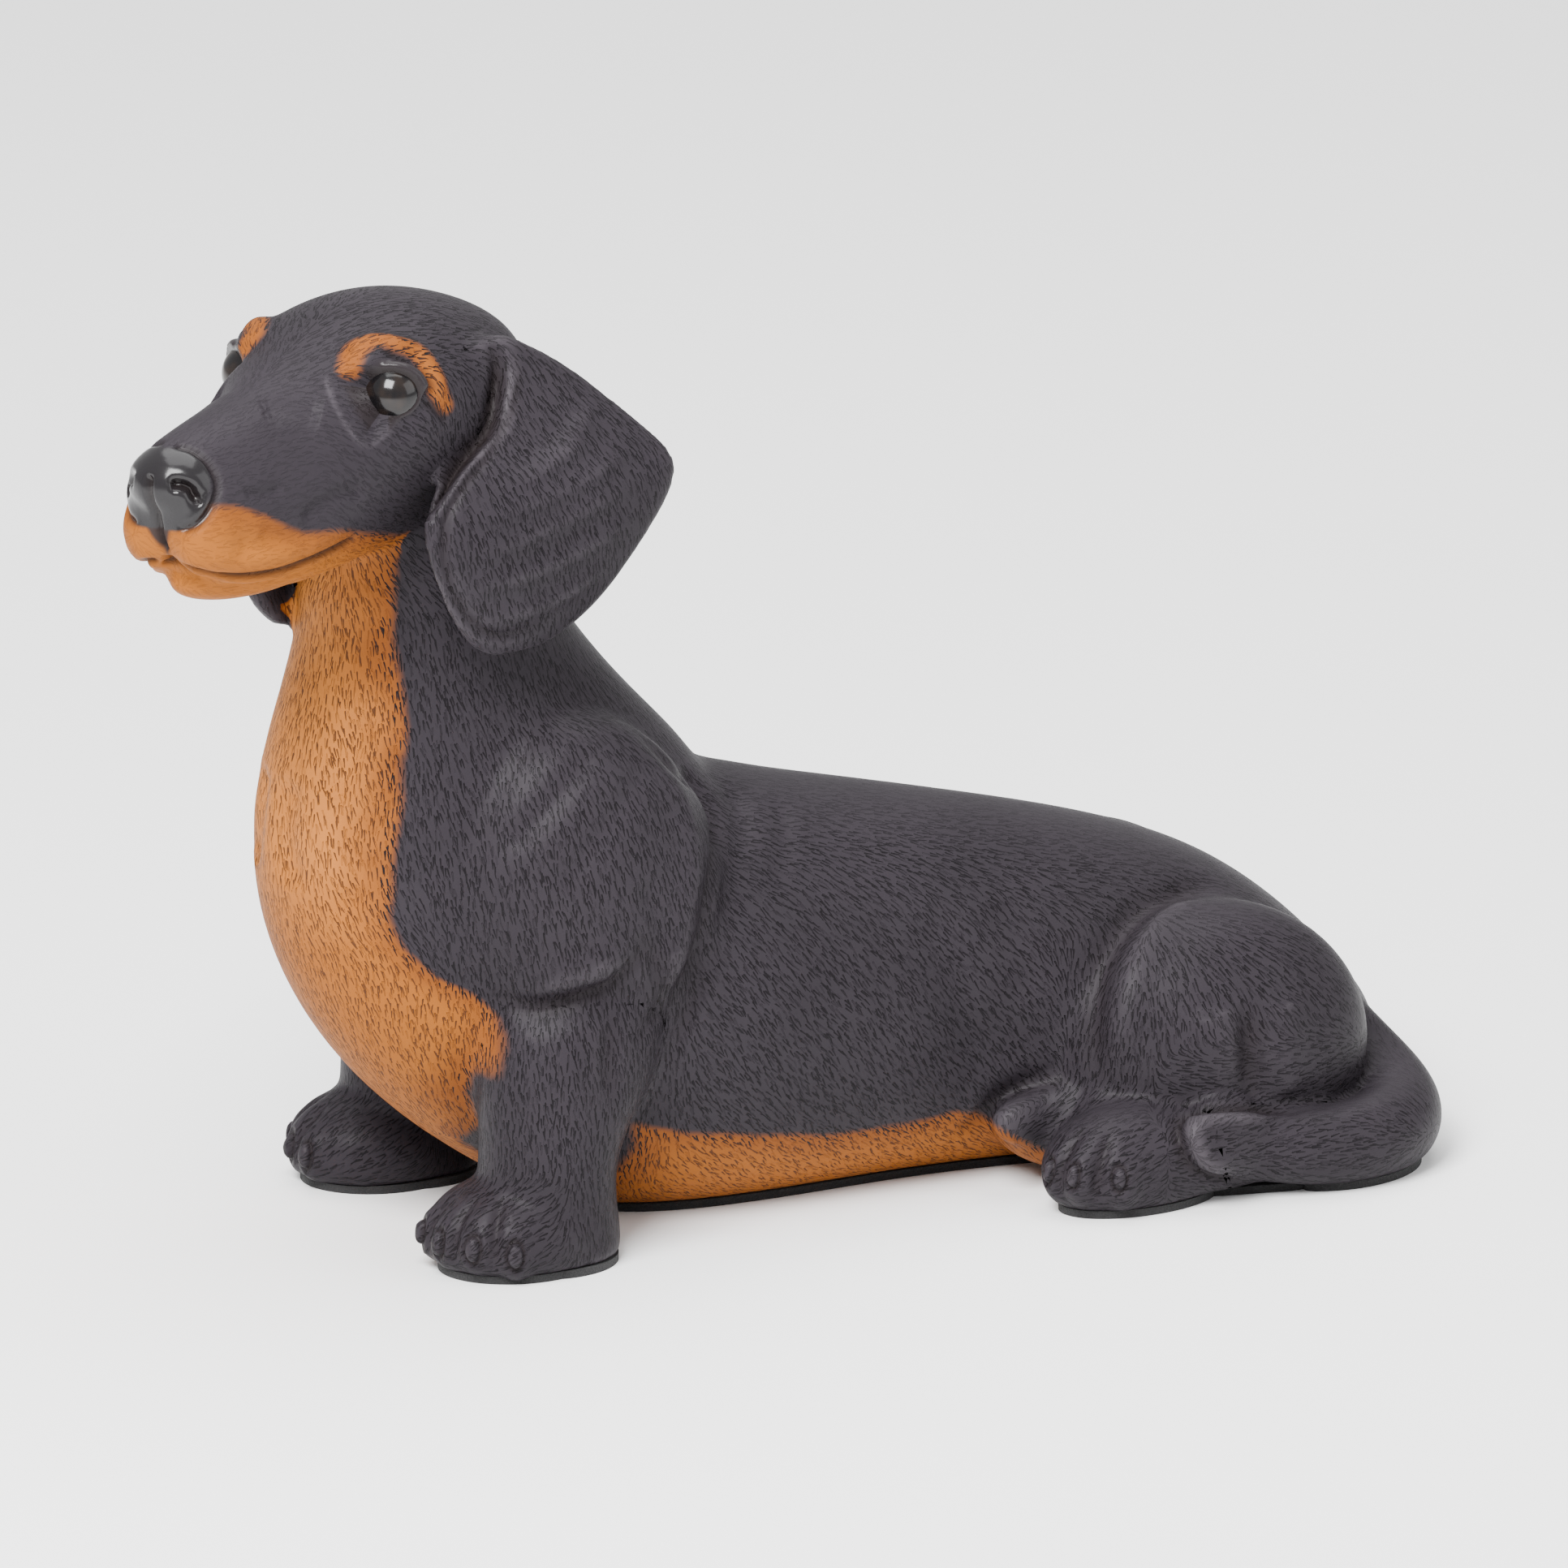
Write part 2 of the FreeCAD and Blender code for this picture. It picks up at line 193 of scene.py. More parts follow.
def smooth_path(points, step=0.5):
    """Points of a curve through the given ones, about a step apart."""
    p = [np.array(q, float) for q in points]
    if len(p) == 1:
        return np.array(p)
    p = [2 * p[0] - p[1]] + p + [2 * p[-1] - p[-2]]
    out = []
    for a, b, c, d in zip(p, p[1:], p[2:], p[3:]):
        n = max(2, int(np.linalg.norm(c - b) / step))
        for i in range(n):
            t = i / n
            out.append(0.5 * ((2 * b) + (c - a) * t + (2 * a - 5 * b + 4 * c - d) * t * t
                              + (3 * b - a - 3 * c + d) * t ** 3))
    out.append(p[-2])
    return np.array(out)


def near_path(points, path, reach):
    """Index, distance and share along the path of the points within reach of it."""
    lo, hi = path.min(0) - reach, path.max(0) + reach
    index = np.nonzero(np.all((points > lo) & (points < hi), axis=1))[0]
    best = np.full(len(index), 1e9)
    where = np.zeros(len(index), int)
    for k, q in enumerate(path):
        d = np.linalg.norm(points[index] - q, axis=1)
        closer = d < best
        best[closer] = d[closer]
        where[closer] = k
    keep = best < reach
    return index[keep], best[keep], where[keep] / max(1, len(path) - 1)


def bell(x):
    return np.exp(-x * x)


class Sculpt:
    """Moves the skin of one mesh along its normals; millimetres throughout."""

    def __init__(self, obj, depth_scale=1.0):
        self.obj = obj
        self.scale = depth_scale
        self.points = points_of(obj)
        self.dark = np.zeros(len(self.points))
        self.lid = np.zeros(len(self.points))
        self.refresh()

    def refresh(self):
        """Brings normals, search tree and the reference points up to the moved skin."""
        set_points(self.obj, self.points)
        self.base = self.points.copy()
        self.normals = vertex_normals(self.obj)
        faces = [tuple(face.vertices) for face in self.obj.data.polygons]
        self.tree = BVHTree.FromPolygons([tuple(q) for q in self.points], faces)

    def laid(self, path, step, toward=None):
        """The smooth path laid onto the skin, seen from a direction or else by the nearest point."""
        found = []
        for q in smooth_path(path, step):
            hit = None
            if toward is not None:
                hit = self.tree.ray_cast(Vector(q + toward * 16.0), Vector(-toward), 32.0)[0]
            found.append((hit or self.tree.find_nearest(Vector(q))[0])[:])
        return np.array(found)

    def groove(self, path, width, depth, fade=0.15, dark=0.0, toward=None):
        """Cut along a path, shallower at its ends; a negative depth raises a ridge."""
        curve = self.laid(path, max(0.3, width / 3), toward)
        index, d, share = near_path(self.base, curve, 3 * width)
        ends = np.clip(np.minimum(share, 1 - share) / fade, 0, 1) if fade else 1.0
        weight = bell(d / width) * ends
        self.points[index] -= self.normals[index] * (weight * depth * self.scale)[:, None]
        # dark: painted shade along the cut, strongest at its middle
        if dark:
            self.dark[index] = np.maximum(self.dark[index], dark * weight)

    def claw(self, centre, size):
        """An oval nail with an engraved outline."""
        spot, normal = self.tree.find_nearest(Vector(centre))[:2]
        spot, normal = np.array(spot), np.array(normal)
        across = np.cross(normal, (0, 0, 1.0))
        across /= np.linalg.norm(across)
        upright = np.cross(across, normal)
        d = self.base - spot
        index = np.nonzero(np.linalg.norm(d, axis=1) < 3 * size)[0]
        rho = np.hypot(d[index] @ across / (0.62 * size), d[index] @ upright / size)
        self.points[index] += self.normals[index] * (0.35 * (1 - ramp(rho, 0.6, 1.1))
                                                     - 0.75 * bell((rho - 1.35) / 0.25))[:, None]
        # painted shade in the engraved outline round the nail
        self.dark[index] = np.maximum(self.dark[index], 0.75 * bell((rho - 1.35) / 0.22))


# -------------------- regions of the body
def ramp(x, low, high):
    return np.clip((x - low) / (high - low), 0.0, 1.0)


def soft_weights(p):
    """Share of the coarse smoothing: full on the trunk, little on ears, paws and muzzle."""
    x, y, z = p.T
    t, s, u = Head.local(p)
    weight = np.ones(len(p))
    ears = (np.abs(s) > 17) & (u < 12) & (u > -62) & (t < 2) & (z > 115)
    weight[ears] = 0.12
    weight = np.minimum(weight, 1 - 0.8 * ramp(t, 5, 18) * (z > 135))
    weight = np.minimum(weight, 0.25 + 0.75 * ramp(z, 22, 32) + (np.abs(y) < 20))
    hind_toes = (y < -38) & (x > 30) & (x < 56) & (z < 30)
    weight[hind_toes] = np.minimum(weight[hind_toes], 0.25)
    return np.clip(weight, 0.0, 1.0)


# -------------------- landmarks, millimetres
# Paths on the body are given for the left side as x, y, z, and on the head for its right side as t, s, u.
FORE_PAW = (-72.8, 32.5)    # middle of a paw: x, and how far out
HIND_PAW = (55.2, 46.2)
SHOULDER_CREASE = [(-46, -27, 105), (-40, -31, 99), (-33, -33, 90), (-32, -37, 80), (-35, -40, 71),
                   (-38, -42, 62), (-42, -42, 55), (-46, -42, 47)]
SHOULDER_FOLD = [(-16, -8, 85), (-19, -21, 80), (-25, -31, 72), (-29, -36, 62)]
SHOULDER_FOLD_2 = [(-8, -16, 82), (-12, -26, 76), (-17, -33, 68)]
BLADE_FOLDS = ([(-75, -30, 83), (-68, -34, 92), (-60, -33, 99), (-55, -30, 103)],
               [(-66, -38, 76), (-58, -38, 86), (-50, -36, 94), (-45, -33, 99)],
               [(-50, -42, 78), (-46, -41, 70), (-44, -42, 62)])
ARM_ROLL = [(-80, -31, 55.5), (-76, -35, 54.5), (-71, -39, 54), (-64, -42, 56), (-58, -44, 58.5),
            (-53, -44, 62.5), (-50, -44, 68)]
ELBOW_FOLDS = ([(-52, -45, 69), (-47, -43, 60), (-47, -42, 52), (-53, -44, 45)],
               [(-39, -42, 66), (-37, -40, 56), (-40, -40, 47), (-44, -39, 38)],
               [(-57, -44, 53), (-59, -46, 44), (-58, -46, 34)])
CHEST_FOLDS = ([(-106, -15, 97), (-104, -19, 88), (-102, -22, 80), (-105, -19, 70)],
               [(-94, -23, 106), (-98, -22, 96), (-102, -21, 87)],
               [(-110, -7, 97), (-111, -6, 85), (-110, -9, 75)],
               [(-99, -17, 112), (-102, -17, 102), (-105, -16, 94)])
HAUNCH_CREASE = [(84, -19, 55), (73, -25, 54.5), (64, -28, 53), (57, -32, 49), (52, -36, 44),
                 (49, -39, 36), (48.5, -40.5, 28), (50, -42, 22)]
THIGH_CREASE = [(76, -51, 40), (77, -52, 34), (76.5, -53, 28), (77, -53, 23), (77, -53, 18.5)]
TAIL_EDGE = [(87, -55, 16), (76, -52.5, 18), (65, -50.5, 18), (60, -54, 17), (59.5, -57, 13),
             (62, -56.5, 8.5), (68, -54.5, 5), (76, -53.5, 2.5)]
GROIN_FOLD = [(24, -27, 11), (29, -27.5, 15), (32, -29, 19), (38, -32, 22), (46, -36, 23.5)]
FLANK_FOLDS = ([(14, -36, 62), (20, -36, 50), (24, -34, 38), (30, -32, 28)],
               [(32, -30, 60), (36, -31, 50), (39, -33, 40)])
FORE_NAILS = [(-91, -27.5, 7.5), (-90.5, -35, 7.2), (-86.5, -42, 7.4), (-79.5, -46, 6.4)]
HIND_NAILS = [(33.5, -49, 9.5), (36.5, -55, 9.8), (45.5, -58.5, 9)]
# nails, middle of the paw, drop of the toe under its nail, the toe's radii, half height of the nail
TOES = ((FORE_NAILS, FORE_PAW, 0.5, (6.4, 4.0, 6.2), 2.3), (HIND_NAILS, HIND_PAW, 1.5, (5.8, 4.0, 6.4), 2.0))
TOE_SHARE = 0.74            # how far from the paw's middle to the nail a toe is centred
# lines between toes: share of the way back to the paw's middle, height
TOE_GAP = ((0.0, 3.5), (0.03, 8.0), (0.16, 12.5), (0.42, 16.0))


def head_path(points):
    return [tuple(Head.place(*q)) for q in points]


def on_side(side, points):
    """A path on the head given for its right side."""
    return head_path([(t, side * s, u) for t, s, u in points])


def face_view(side):
    """The direction that the landmarks of one side of the face are laid along."""
    return Head.forward * 0.754 + Head.right * (side * 0.608) + Head.up * 0.251


def flank_view(side):
    return np.array([-0.404, side * 0.867, 0.292])


# Rounded forms melted into the cast: name, centre and radii. Those of muzzle and midline are in t, s, u.
MUZZLE_FORMS = (("lid", EYE, (7.0, 7.0, 7.0)), ("flew", (22, 8.2, -26.0), (24, 7.3, 8.0)),
                ("lip", (43.3, 6.0, -20.0), (8.8, 6.8, 8.8)), ("brow", (-2, 14.2, 5.0), (8, 6.2, 4.6)))
MIDLINE_FORMS = (("nose", (46.2, 0, -9.8), (8.0, 9.6, 7.3)), ("jaw", (22, 0, -31.0), (24.5, 10.5, 6.0)))
LIMB_FORMS = (("elbow", (-55, 34, 52), (9, 9, 17), 0.0), ("knee", (44, 30.5, 15), (15, 6, 6.5), -0.25))
TAIL_FORMS = (("tail_tip", (70, -54.5, 12.5), (14.5, 6.6, 8.2), 0.12),
              ("tail_foot", (68, -49, 7.2), (21, 9.5, 6.0), 0.0),
              ("tail_top", (71, -49.5, 15.5), (13, 4.5, 3.8), 0.0),
              ("hock", (52, -40.5, 17), (7, 4.5, 5.5), 0.0))
# these close the luting joint behind the skull
NAPE_FORMS = (((-74, 2, 149), (21.5, 22.8, 18)), ((-72, 4, 158), (17, 18, 17)))
MOUTH = [(51, 0, -23.5), (48, 3.5, -26.3), (44, 6, -28.4), (38, 8.5, -30), (31.5, 10.8, -30.6),
         (27, 12.3, -30.4), (22, 13.6, -29.8), (16.5, 15, -28.8), (12.5, 15.6, -28.0), (10, 16, -26.6)]
BROW = [(5.6, 12.6, 5.2), (2, 11.5, 8), (-1.7, 12.8, 9), (-4.8, 15.5, 8.4), (-6.9, 18.8, 6.6),
        (-7.4, 21.7, 3.6), (-7.3, 23.9, -0.3), (-8.4, 24.8, -4.4)]
EAR_CREASE = [(-25, 23.7, 5), (-25, 25, -0.2), (-23.5, 25.6, -5), (-19.6, 26.2, -11.2), (-14.3, 25.6, -14.8),
              (-9.6, 25, -17.6), (-4.6, 24.6, -21.4), (0, 24, -26)]
EAR_RIM = [(-29, 25.5, 3), (-27.3, 27.4, -4.7), (-23, 28, -10.2), (-15.9, 28.4, -15.9), (-8.7, 27.9, -20.4),
           (-4.2, 27.4, -25), (-2.6, 27, -31.6), (-4, 27, -40.3), (-8.5, 28, -48), (-15, 30, -52),
           (-25, 34.3, -51)]
EAR_RIDGES = ([(-22.7, 34, -19.4), (-31.6, 35.5, -16.3), (-44.4, 34, -10.4)],
              [(-14.3, 32.3, -22.5), (-25.9, 35.6, -19.9), (-39.3, 37.6, -16.3)],
              [(-8.1, 30.7, -27.8), (-20, 35.7, -26), (-33.6, 39.6, -23), (-48, 40.8, -18.8)],
              [(-5.5, 29.2, -33.7), (-15.6, 34.7, -32.5), (-29.2, 39.5, -29.4), (-46.7, 43.4, -24.8)],
              [(-6, 28.3, -41.4), (-15.4, 34.3, -39.9), (-27.8, 39, -37.4), (-42.5, 43.1, -32.9)],
              [(-9.5, 28.7, -47.6), (-18, 33.8, -47.2), (-27.5, 37.7, -44.9), (-36.9, 40.8, -41)])
NOSE_EDGE = [(45.5, 0, -2.4), (45, 4.5, -3.2), (44.2, 8, -6), (44.4, 9.8, -10), (46.5, 9.6, -14),
             (49, 7.6, -17), (51, 4.5, -18.2)]
SPLIT = [(54, 0, -6), (54, 0, -12), (53, 0, -17), (51, 0, -21), (50, 0, -24)]
NOSTRIL = [(52.8, 4.2, -8.6), (51.8, 6.2, -8.4), (50.4, 7.9, -9.6), (50.0, 8.6, -11.2), (48.6, 9.4, -11.8)]


# -------------------- body
def filler(kind, centre, radii, turn=0.0):
    """A ball on three radii, melted into the body: turned about the vertical, or set in the head's frame."""
    deselect()
    bpy.ops.mesh.primitive_uv_sphere_add(segments=48, ring_count=24, radius=1.0)
    ball = bpy.context.object
    ball.name = kind
    if turn == "head":
        basis = Matrix((Head.forward, Head.right, Head.up)).transposed()
    else:
        basis = Matrix.Rotation(turn, 3, "Z")
    scale = Matrix.Diagonal((*[r * MM for r in radii], 1.0))
    ball.matrix_world = Matrix.Translation(Vector(centre) * MM) @ basis.to_4x4() @ scale
    bpy.ops.object.transform_apply(location=True, rotation=True, scale=True)
    return ball


def cast_copies(overlap):
    """Copies of the cast sections, each grown a little so that neighbours melt together."""
    copies = []
    for node in CAST_NODES:
        source = frame["nodes"][node]
        activate(source)
        bpy.ops.object.duplicate()
        copy = bpy.context.object
        bpy.ops.object.parent_clear(type="CLEAR_KEEP_TRANSFORM")
        for key in list(copy.keys()):
            del copy[key]
        copy.name = "form_" + node
        copy.data.materials.clear()
        bpy.ops.object.mode_set(mode="EDIT")
        bpy.ops.mesh.select_all(action="SELECT")
        bpy.ops.mesh.remove_doubles(threshold=1e-6)
        bpy.ops.object.mode_set(mode="OBJECT")
        if node != "torso":
            apply_modifier(copy, "DISPLACE", strength=overlap, mid_level=0.0)
        copies.append(copy)
    return copies


def rounded_forms():
    """The balls that round out muzzle, toes, limbs, nape and tail, and the plug of the floor's vent."""
    deselect()
    bpy.ops.mesh.primitive_cylinder_add(radius=0.0085, depth=0.012, location=(0.0288, 0, 0.0065))
    forms = [bpy.context.object]
    for side in SIDES:
        for label, (t, s, u), radii in MUZZLE_FORMS:
            forms.append(filler(label, Head.place(t, side * s, u), radii, "head"))
        for nails, (paw_x, paw_out), drop, radii, _ in TOES:
            for x, y, z in nails:
                ahead, out = x - paw_x, -y - paw_out
                toe = (paw_x + TOE_SHARE * ahead, side * (paw_out + TOE_SHARE * out), z - drop)
                forms.append(filler("toe", toe, radii, math.atan2(side * out, ahead)))
        for label, (x, out, z), radii, turn in LIMB_FORMS:
            forms.append(filler(label, (x, side * out, z), radii, side * turn))
    for centre, radii in NAPE_FORMS:
        forms.append(filler("nape", centre, radii))
    for label, centre, radii, turn in TAIL_FORMS:
        forms.append(filler(label, centre, radii, turn))
    for label, centre, radii in MIDLINE_FORMS:
        forms.append(filler(label, Head.place(*centre), radii, "head"))
    return forms


def refine(body):
    """Finer skin on the head's front and on the toes, where the detail is."""
    p = points_of(body)
    x, y, z = p.T
    t, s, u = Head.local(p)
    fine = (t > -14) & (u > -37) & (z > 112) & (np.abs(s) < 30)
    for side in SIDES:
        near_paw = np.hypot(x - FORE_PAW[0], y - side * FORE_PAW[1]) < 26
        fine |= near_paw & (z < 20) & (z > 1.0) & (x < -70)
    fine |= (np.abs(y) > 40) & (x < 56) & (x > 28) & (z < 18) & (z > 1.0)
    activate(body)
    bpy.ops.object.mode_set(mode="EDIT")
    bpy.ops.mesh.select_mode(type="VERT")
    bpy.ops.mesh.select_all(action="DESELECT")
    bpy.ops.object.mode_set(mode="OBJECT")
    body.data.vertices.foreach_set("select", fine)
    bpy.ops.object.mode_set(mode="EDIT")
    bpy.ops.mesh.select_mode(type="VERT")
    bpy.ops.mesh.subdivide(number_cuts=1, smoothness=0.0)
    bpy.ops.object.mode_set(mode="OBJECT")
    apply_modifier(body, "SMOOTH", factor=0.5, iterations=3)


def build_body(settings):
    """One skin over all cast sections, smoothed and sculpted."""
    forms = cast_copies(settings.overlap) + rounded_forms()
    activate(forms[0], forms[1:])
    bpy.ops.object.join()
    body = bpy.context.object
    body.name = "cast_body"
    apply_modifier(body, "REMESH", mode="VOXEL", voxel_size=settings.voxel)
    group = body.vertex_groups.new(name="soft")
    weights = soft_weights(points_of(body))
    for level in range(21):
        index = np.nonzero((weights * 20).round().astype(int) == level)[0]
        group.add(index.tolist(), level / 20.0, "REPLACE")
    apply_modifier(body, "SMOOTH", factor=0.5, iterations=5)
    apply_modifier(body, "SMOOTH", factor=0.5, iterations=30, vertex_group="soft")
    refine(body)
    return body, sculpt_body(body, settings)


def sculpt_body(body, settings):
    """All folds, lids and nails; each refresh lets the next ones lie on the skin as it then is."""
    work = Sculpt(body, settings.groove)
    for side in SIDES:
        sculpt_limbs(work, side)
    work.refresh()
    for side in SIDES:
        sculpt_face(work, side)
        sculpt_ear(work, side)
        sculpt_toes(work, side)
    # the nose's midline split, with painted shade in it
    work.groove(head_path(SPLIT), 0.8, 1.5, fade=0.08, dark=1.0)
    work.refresh()
    for side in SIDES:
        sculpt_eye(work, side)
    work.refresh()
    # painted shade in the folds, mouth, nostrils, lid rims, nail outlines and toe gaps
    values(body, "dark", work.dark)
    values(body, "lid", work.lid)
    return work


def sculpt_eye(work, side):
    """Opens the lids over the glass and rolls their edges; rho is 1 along the rim of the opening."""
    eye = eye_centre(side)
    axis = Head.forward * 0.84 + Head.right * (side * 0.50) + Head.up * 0.18
    axis /= np.linalg.norm(axis)
    tall = Head.up - axis * (Head.up @ axis)
    tall /= np.linalg.norm(tall)
    inner = np.cross(tall, axis)
    if inner @ (Head.right * side) > 0:
        inner = -inner
    d = work.points - eye
    r = np.linalg.norm(d, axis=1)
    near = np.nonzero((r < 14) & (d @ axis > -1.5))[0]
    way = d[near] / r[near][:, None]
    angle = np.arccos(np.clip(way @ axis, -1, 1))
    ax, ay = way @ inner, way @ tall + 0.06 * (way @ inner)
    turn = np.hypot(ax, ay).clip(1e-6)
    ax, ay = angle * ax / turn, angle * ay / turn
    rho = np.hypot(ax / 1.03, ay / np.where(ay > 0, 0.764, 0.785))
    upper = ramp(ay, -0.25, 0.17)
    lid = 6.35 + 1.05 * upper
    skin = np.maximum(ramp(rho, 1.28 + 0.10 * upper, 1.66 + 0.10 * upper), ramp(r[near], 7.9, 9.8))
    skin = skin * skin * (3 - 2 * skin)
    close = 1 - ramp(r[near], 8.5, 10.0)
    roll = lid + 0.25 * bell((rho - 1.25) / 0.14) * upper
    target = roll * (1 - skin) + r[near] * skin - 0.5 * bell((rho - 1.56) / 0.09) * upper * close
    target = np.where(rho < 1.12, 5.2 + (target - 5.2) * ramp(rho, 0.97, 1.10), target)
    work.points[near] = eye + way * target[:, None]
    # painted shade at the rim of the lid opening and in the crease over the upper lid
    edge = (bell((rho - 1.03) / 0.06) + 0.7 * bell((rho - 1.56) / 0.08) * upper) * (r[near] < 9.5)
    work.dark[near] = np.maximum(work.dark[near], np.minimum(edge, 1.0))
    painted = (1 - ramp(rho, 1.14 + 0.12 * upper, 1.26 + 0.16 * upper)) * (1 - skin)
    work.lid[near] = np.maximum(work.lid[near], painted)


def sculpt_face(work, side):
    """Mouth, lips, nose leather, brow and cheek folds of one side."""
    def cut(points, width, depth, **more):
        work.groove(on_side(side, points), width, depth, toward=face_view(side), **more)
    cut([(t, s, u + 3.2) for t, s, u in MOUTH[2:]], 2.2, -1.0)
    cut([(t, s, u - 2.0) for t, s, u in MOUTH[2:]], 1.5, 0.9)
    # the dark shares paint shade into the mouth line, nostril, nose edge and small folds
    cut(MOUTH, 1.0, 1.2, fade=0.05, dark=1.0)
    cut(NOSTRIL, 1.1, 2.4, fade=0.12, dark=1.0)
    cut(NOSE_EDGE, 0.9, 1.1, fade=0.05, dark=0.7)
    cut(BROW, 2.6, -1.0)
    cut([(10.5, 13.5, 1.5), (7, 15.5, 1.2), (4.5, 16.2, 3.4)], 1.1, 0.6, dark=0.3)
    cut([(-3.5, 23.8, -2.6), (-6, 24.6, -5), (-9, 25, -8)], 0.9, 0.8, dark=0.6)
    cut([(4, 21.3, -8.8), (-1, 23, -8.6), (-5, 24, -7.5)], 1.0, 0.4)
    cut([(40, 12.5, -12), (35, 13.8, -13.2), (30, 14.6, -13.2)], 1.1, 0.7)
    cut([(27, 15.8, -20.5), (22, 16.4, -18.8), (16, 17.6, -17.6), (10, 19, -18)], 1.8, 0.9)
    cut([(36, 12, -21), (30, 14, -24.5), (23, 15, -26.5)], 2.2, 0.6)
    cut([(26, 6, 1), (20, 9, 0), (14, 12, -3)], 3.5, 0.9)


def sculpt_ear(work, side):
    """Crease in front of the flap, rolled rim and soft diagonal ridges down it."""
    def cut(points, width, depth, **more):
        work.groove(on_side(side, points), width, depth, toward=face_view(side), **more)
    cut([(t - 3.0, s + 1.6, u) for t, s, u in EAR_CREASE], 1.8, -1.2, fade=0.2)
    # painted shade in the crease in front of the flap and along the rim
    cut(EAR_CREASE, 1.5, 2.8, fade=0.2, dark=1.0)
    cut(EAR_RIM, 1.0, 1.0, fade=0.12, dark=0.35)
    for ridge in EAR_RIDGES:
        cut(ridge, 2.2, -0.95, fade=0.3)


def sculpt_limbs(work, side):
    """Folds of the shoulder, arm, haunch and groin of one side."""
    def cut(points, width, depth, **more):
        path = [(x, -side * y, z) for x, y, z in points]
        work.groove(path, width, depth, toward=flank_view(side), **more)
    # each dark share is painted shade in that crease or fold
    cut(SHOULDER_CREASE, 2.6, 1.4, dark=0.2)
    cut([(x - 5, y - 1, z) for x, y, z in SHOULDER_CREASE[1:]], 3.4, -1.0)
    cut(SHOULDER_FOLD, 2.8, 0.9)
    cut(SHOULDER_FOLD_2, 2.6, 0.6)
    for fold in BLADE_FOLDS:
        cut(fold, 2.8, 0.9)
    for fold in CHEST_FOLDS:
        cut(fold, 3.4, 1.6)
    cut([(x, y, z + 5.0) for x, y, z in ARM_ROLL[1:-1]], 4.0, -1.8, fade=0.35)
    cut(ARM_ROLL, 1.9, 1.9, dark=0.5, fade=0.4)
    cut([(x + 1, y, z - 3.5) for x, y, z in ARM_ROLL[1:-1]], 2.2, 0.6)
    for fold in ELBOW_FOLDS:
        cut(fold, 2.0, 1.2, dark=0.15, fade=0.3)
    cut([(x + 6, y - 1, z - 1) for x, y, z in HAUNCH_CREASE[1:-1]], 4.2, -1.1)
    cut(HAUNCH_CREASE, 3.0, 1.5, dark=0.25)
    cut([(x - 7, y, z) for x, y, z in THIGH_CREASE], 4.2, -1.1)
    cut([(x + 8, y, z) for x, y, z in THIGH_CREASE], 4.2, -1.0)
    cut(THIGH_CREASE, 2.5, 2.0, dark=0.35, fade=0.3)
    cut([(x, y, z + 4) for x, y, z in GROIN_FOLD], 3.2, -0.8)
    cut(GROIN_FOLD, 2.0, 0.8, dark=0.25)
    for fold in FLANK_FOLDS:
        cut(fold, 4.0, 0.8)
    if side < 0:    # the tail lies on this side
        cut([(x + 4, y - 1, 11 + 0.7 * (z - 11)) for x, y, z in TAIL_EDGE[1:-1]], 2.4, -1.0)
        # painted shade along the tail's edge
        cut(TAIL_EDGE, 1.2, 1.4, dark=0.55)


def sculpt_toes(work, side):
    """Nails on the fore paw and the hind foot, and the lines between the toes."""
    for nails, (paw_x, paw_out), _, _, size in TOES:
        for x, y, z in nails:
            work.claw((x, -side * y, z), size)
        for a, b in zip(nails, nails[1:]):
            x, y = (a[0] + b[0]) / 2, (a[1] + b[1]) / 2
            gap = [(x + share * (paw_x - x), -side * (y + share * (-paw_out - y)), z) for share, z in TOE_GAP]
            # painted shade in the lines between the toes
            work.groove(gap, 1.3, 1.0, fade=0.3, dark=0.3)


# -------------------- painted values on the skin
def values(obj, name, data, kind="FLOAT"):
    attribute = obj.data.attributes.get(name) or obj.data.attributes.new(name, kind, "POINT")
    key = "value" if kind == "FLOAT" else "vector"
    attribute.data.foreach_set(key, np.asarray(data, np.float32).ravel())


def neighbours(obj):
    edges = np.empty(len(obj.data.edges) * 2, np.int64)
    obj.data.edges.foreach_get("vertices", edges)
    return edges.reshape(-1, 2)


def spread(field, edges, rounds):
    """Averages a per-point field over the mesh."""
    field = np.array(field, float)
    count = np.bincount(edges.ravel(), minlength=len(field)).clip(1)
    wide = field.ndim == 2
    for _ in range(rounds):
        columns = []
        for column in (field.T if wide else [field]):
            total = np.bincount(edges[:, 0], column[edges[:, 1]], len(column))
            total += np.bincount(edges[:, 1], column[edges[:, 0]], len(column))
            columns.append(0.4 * column + 0.6 * total / count)
        field = np.array(columns).T if wide else columns[0]
    return field


def interp(x, pairs):
    xs, ys = zip(*pairs)
    return np.interp(x, xs, ys)


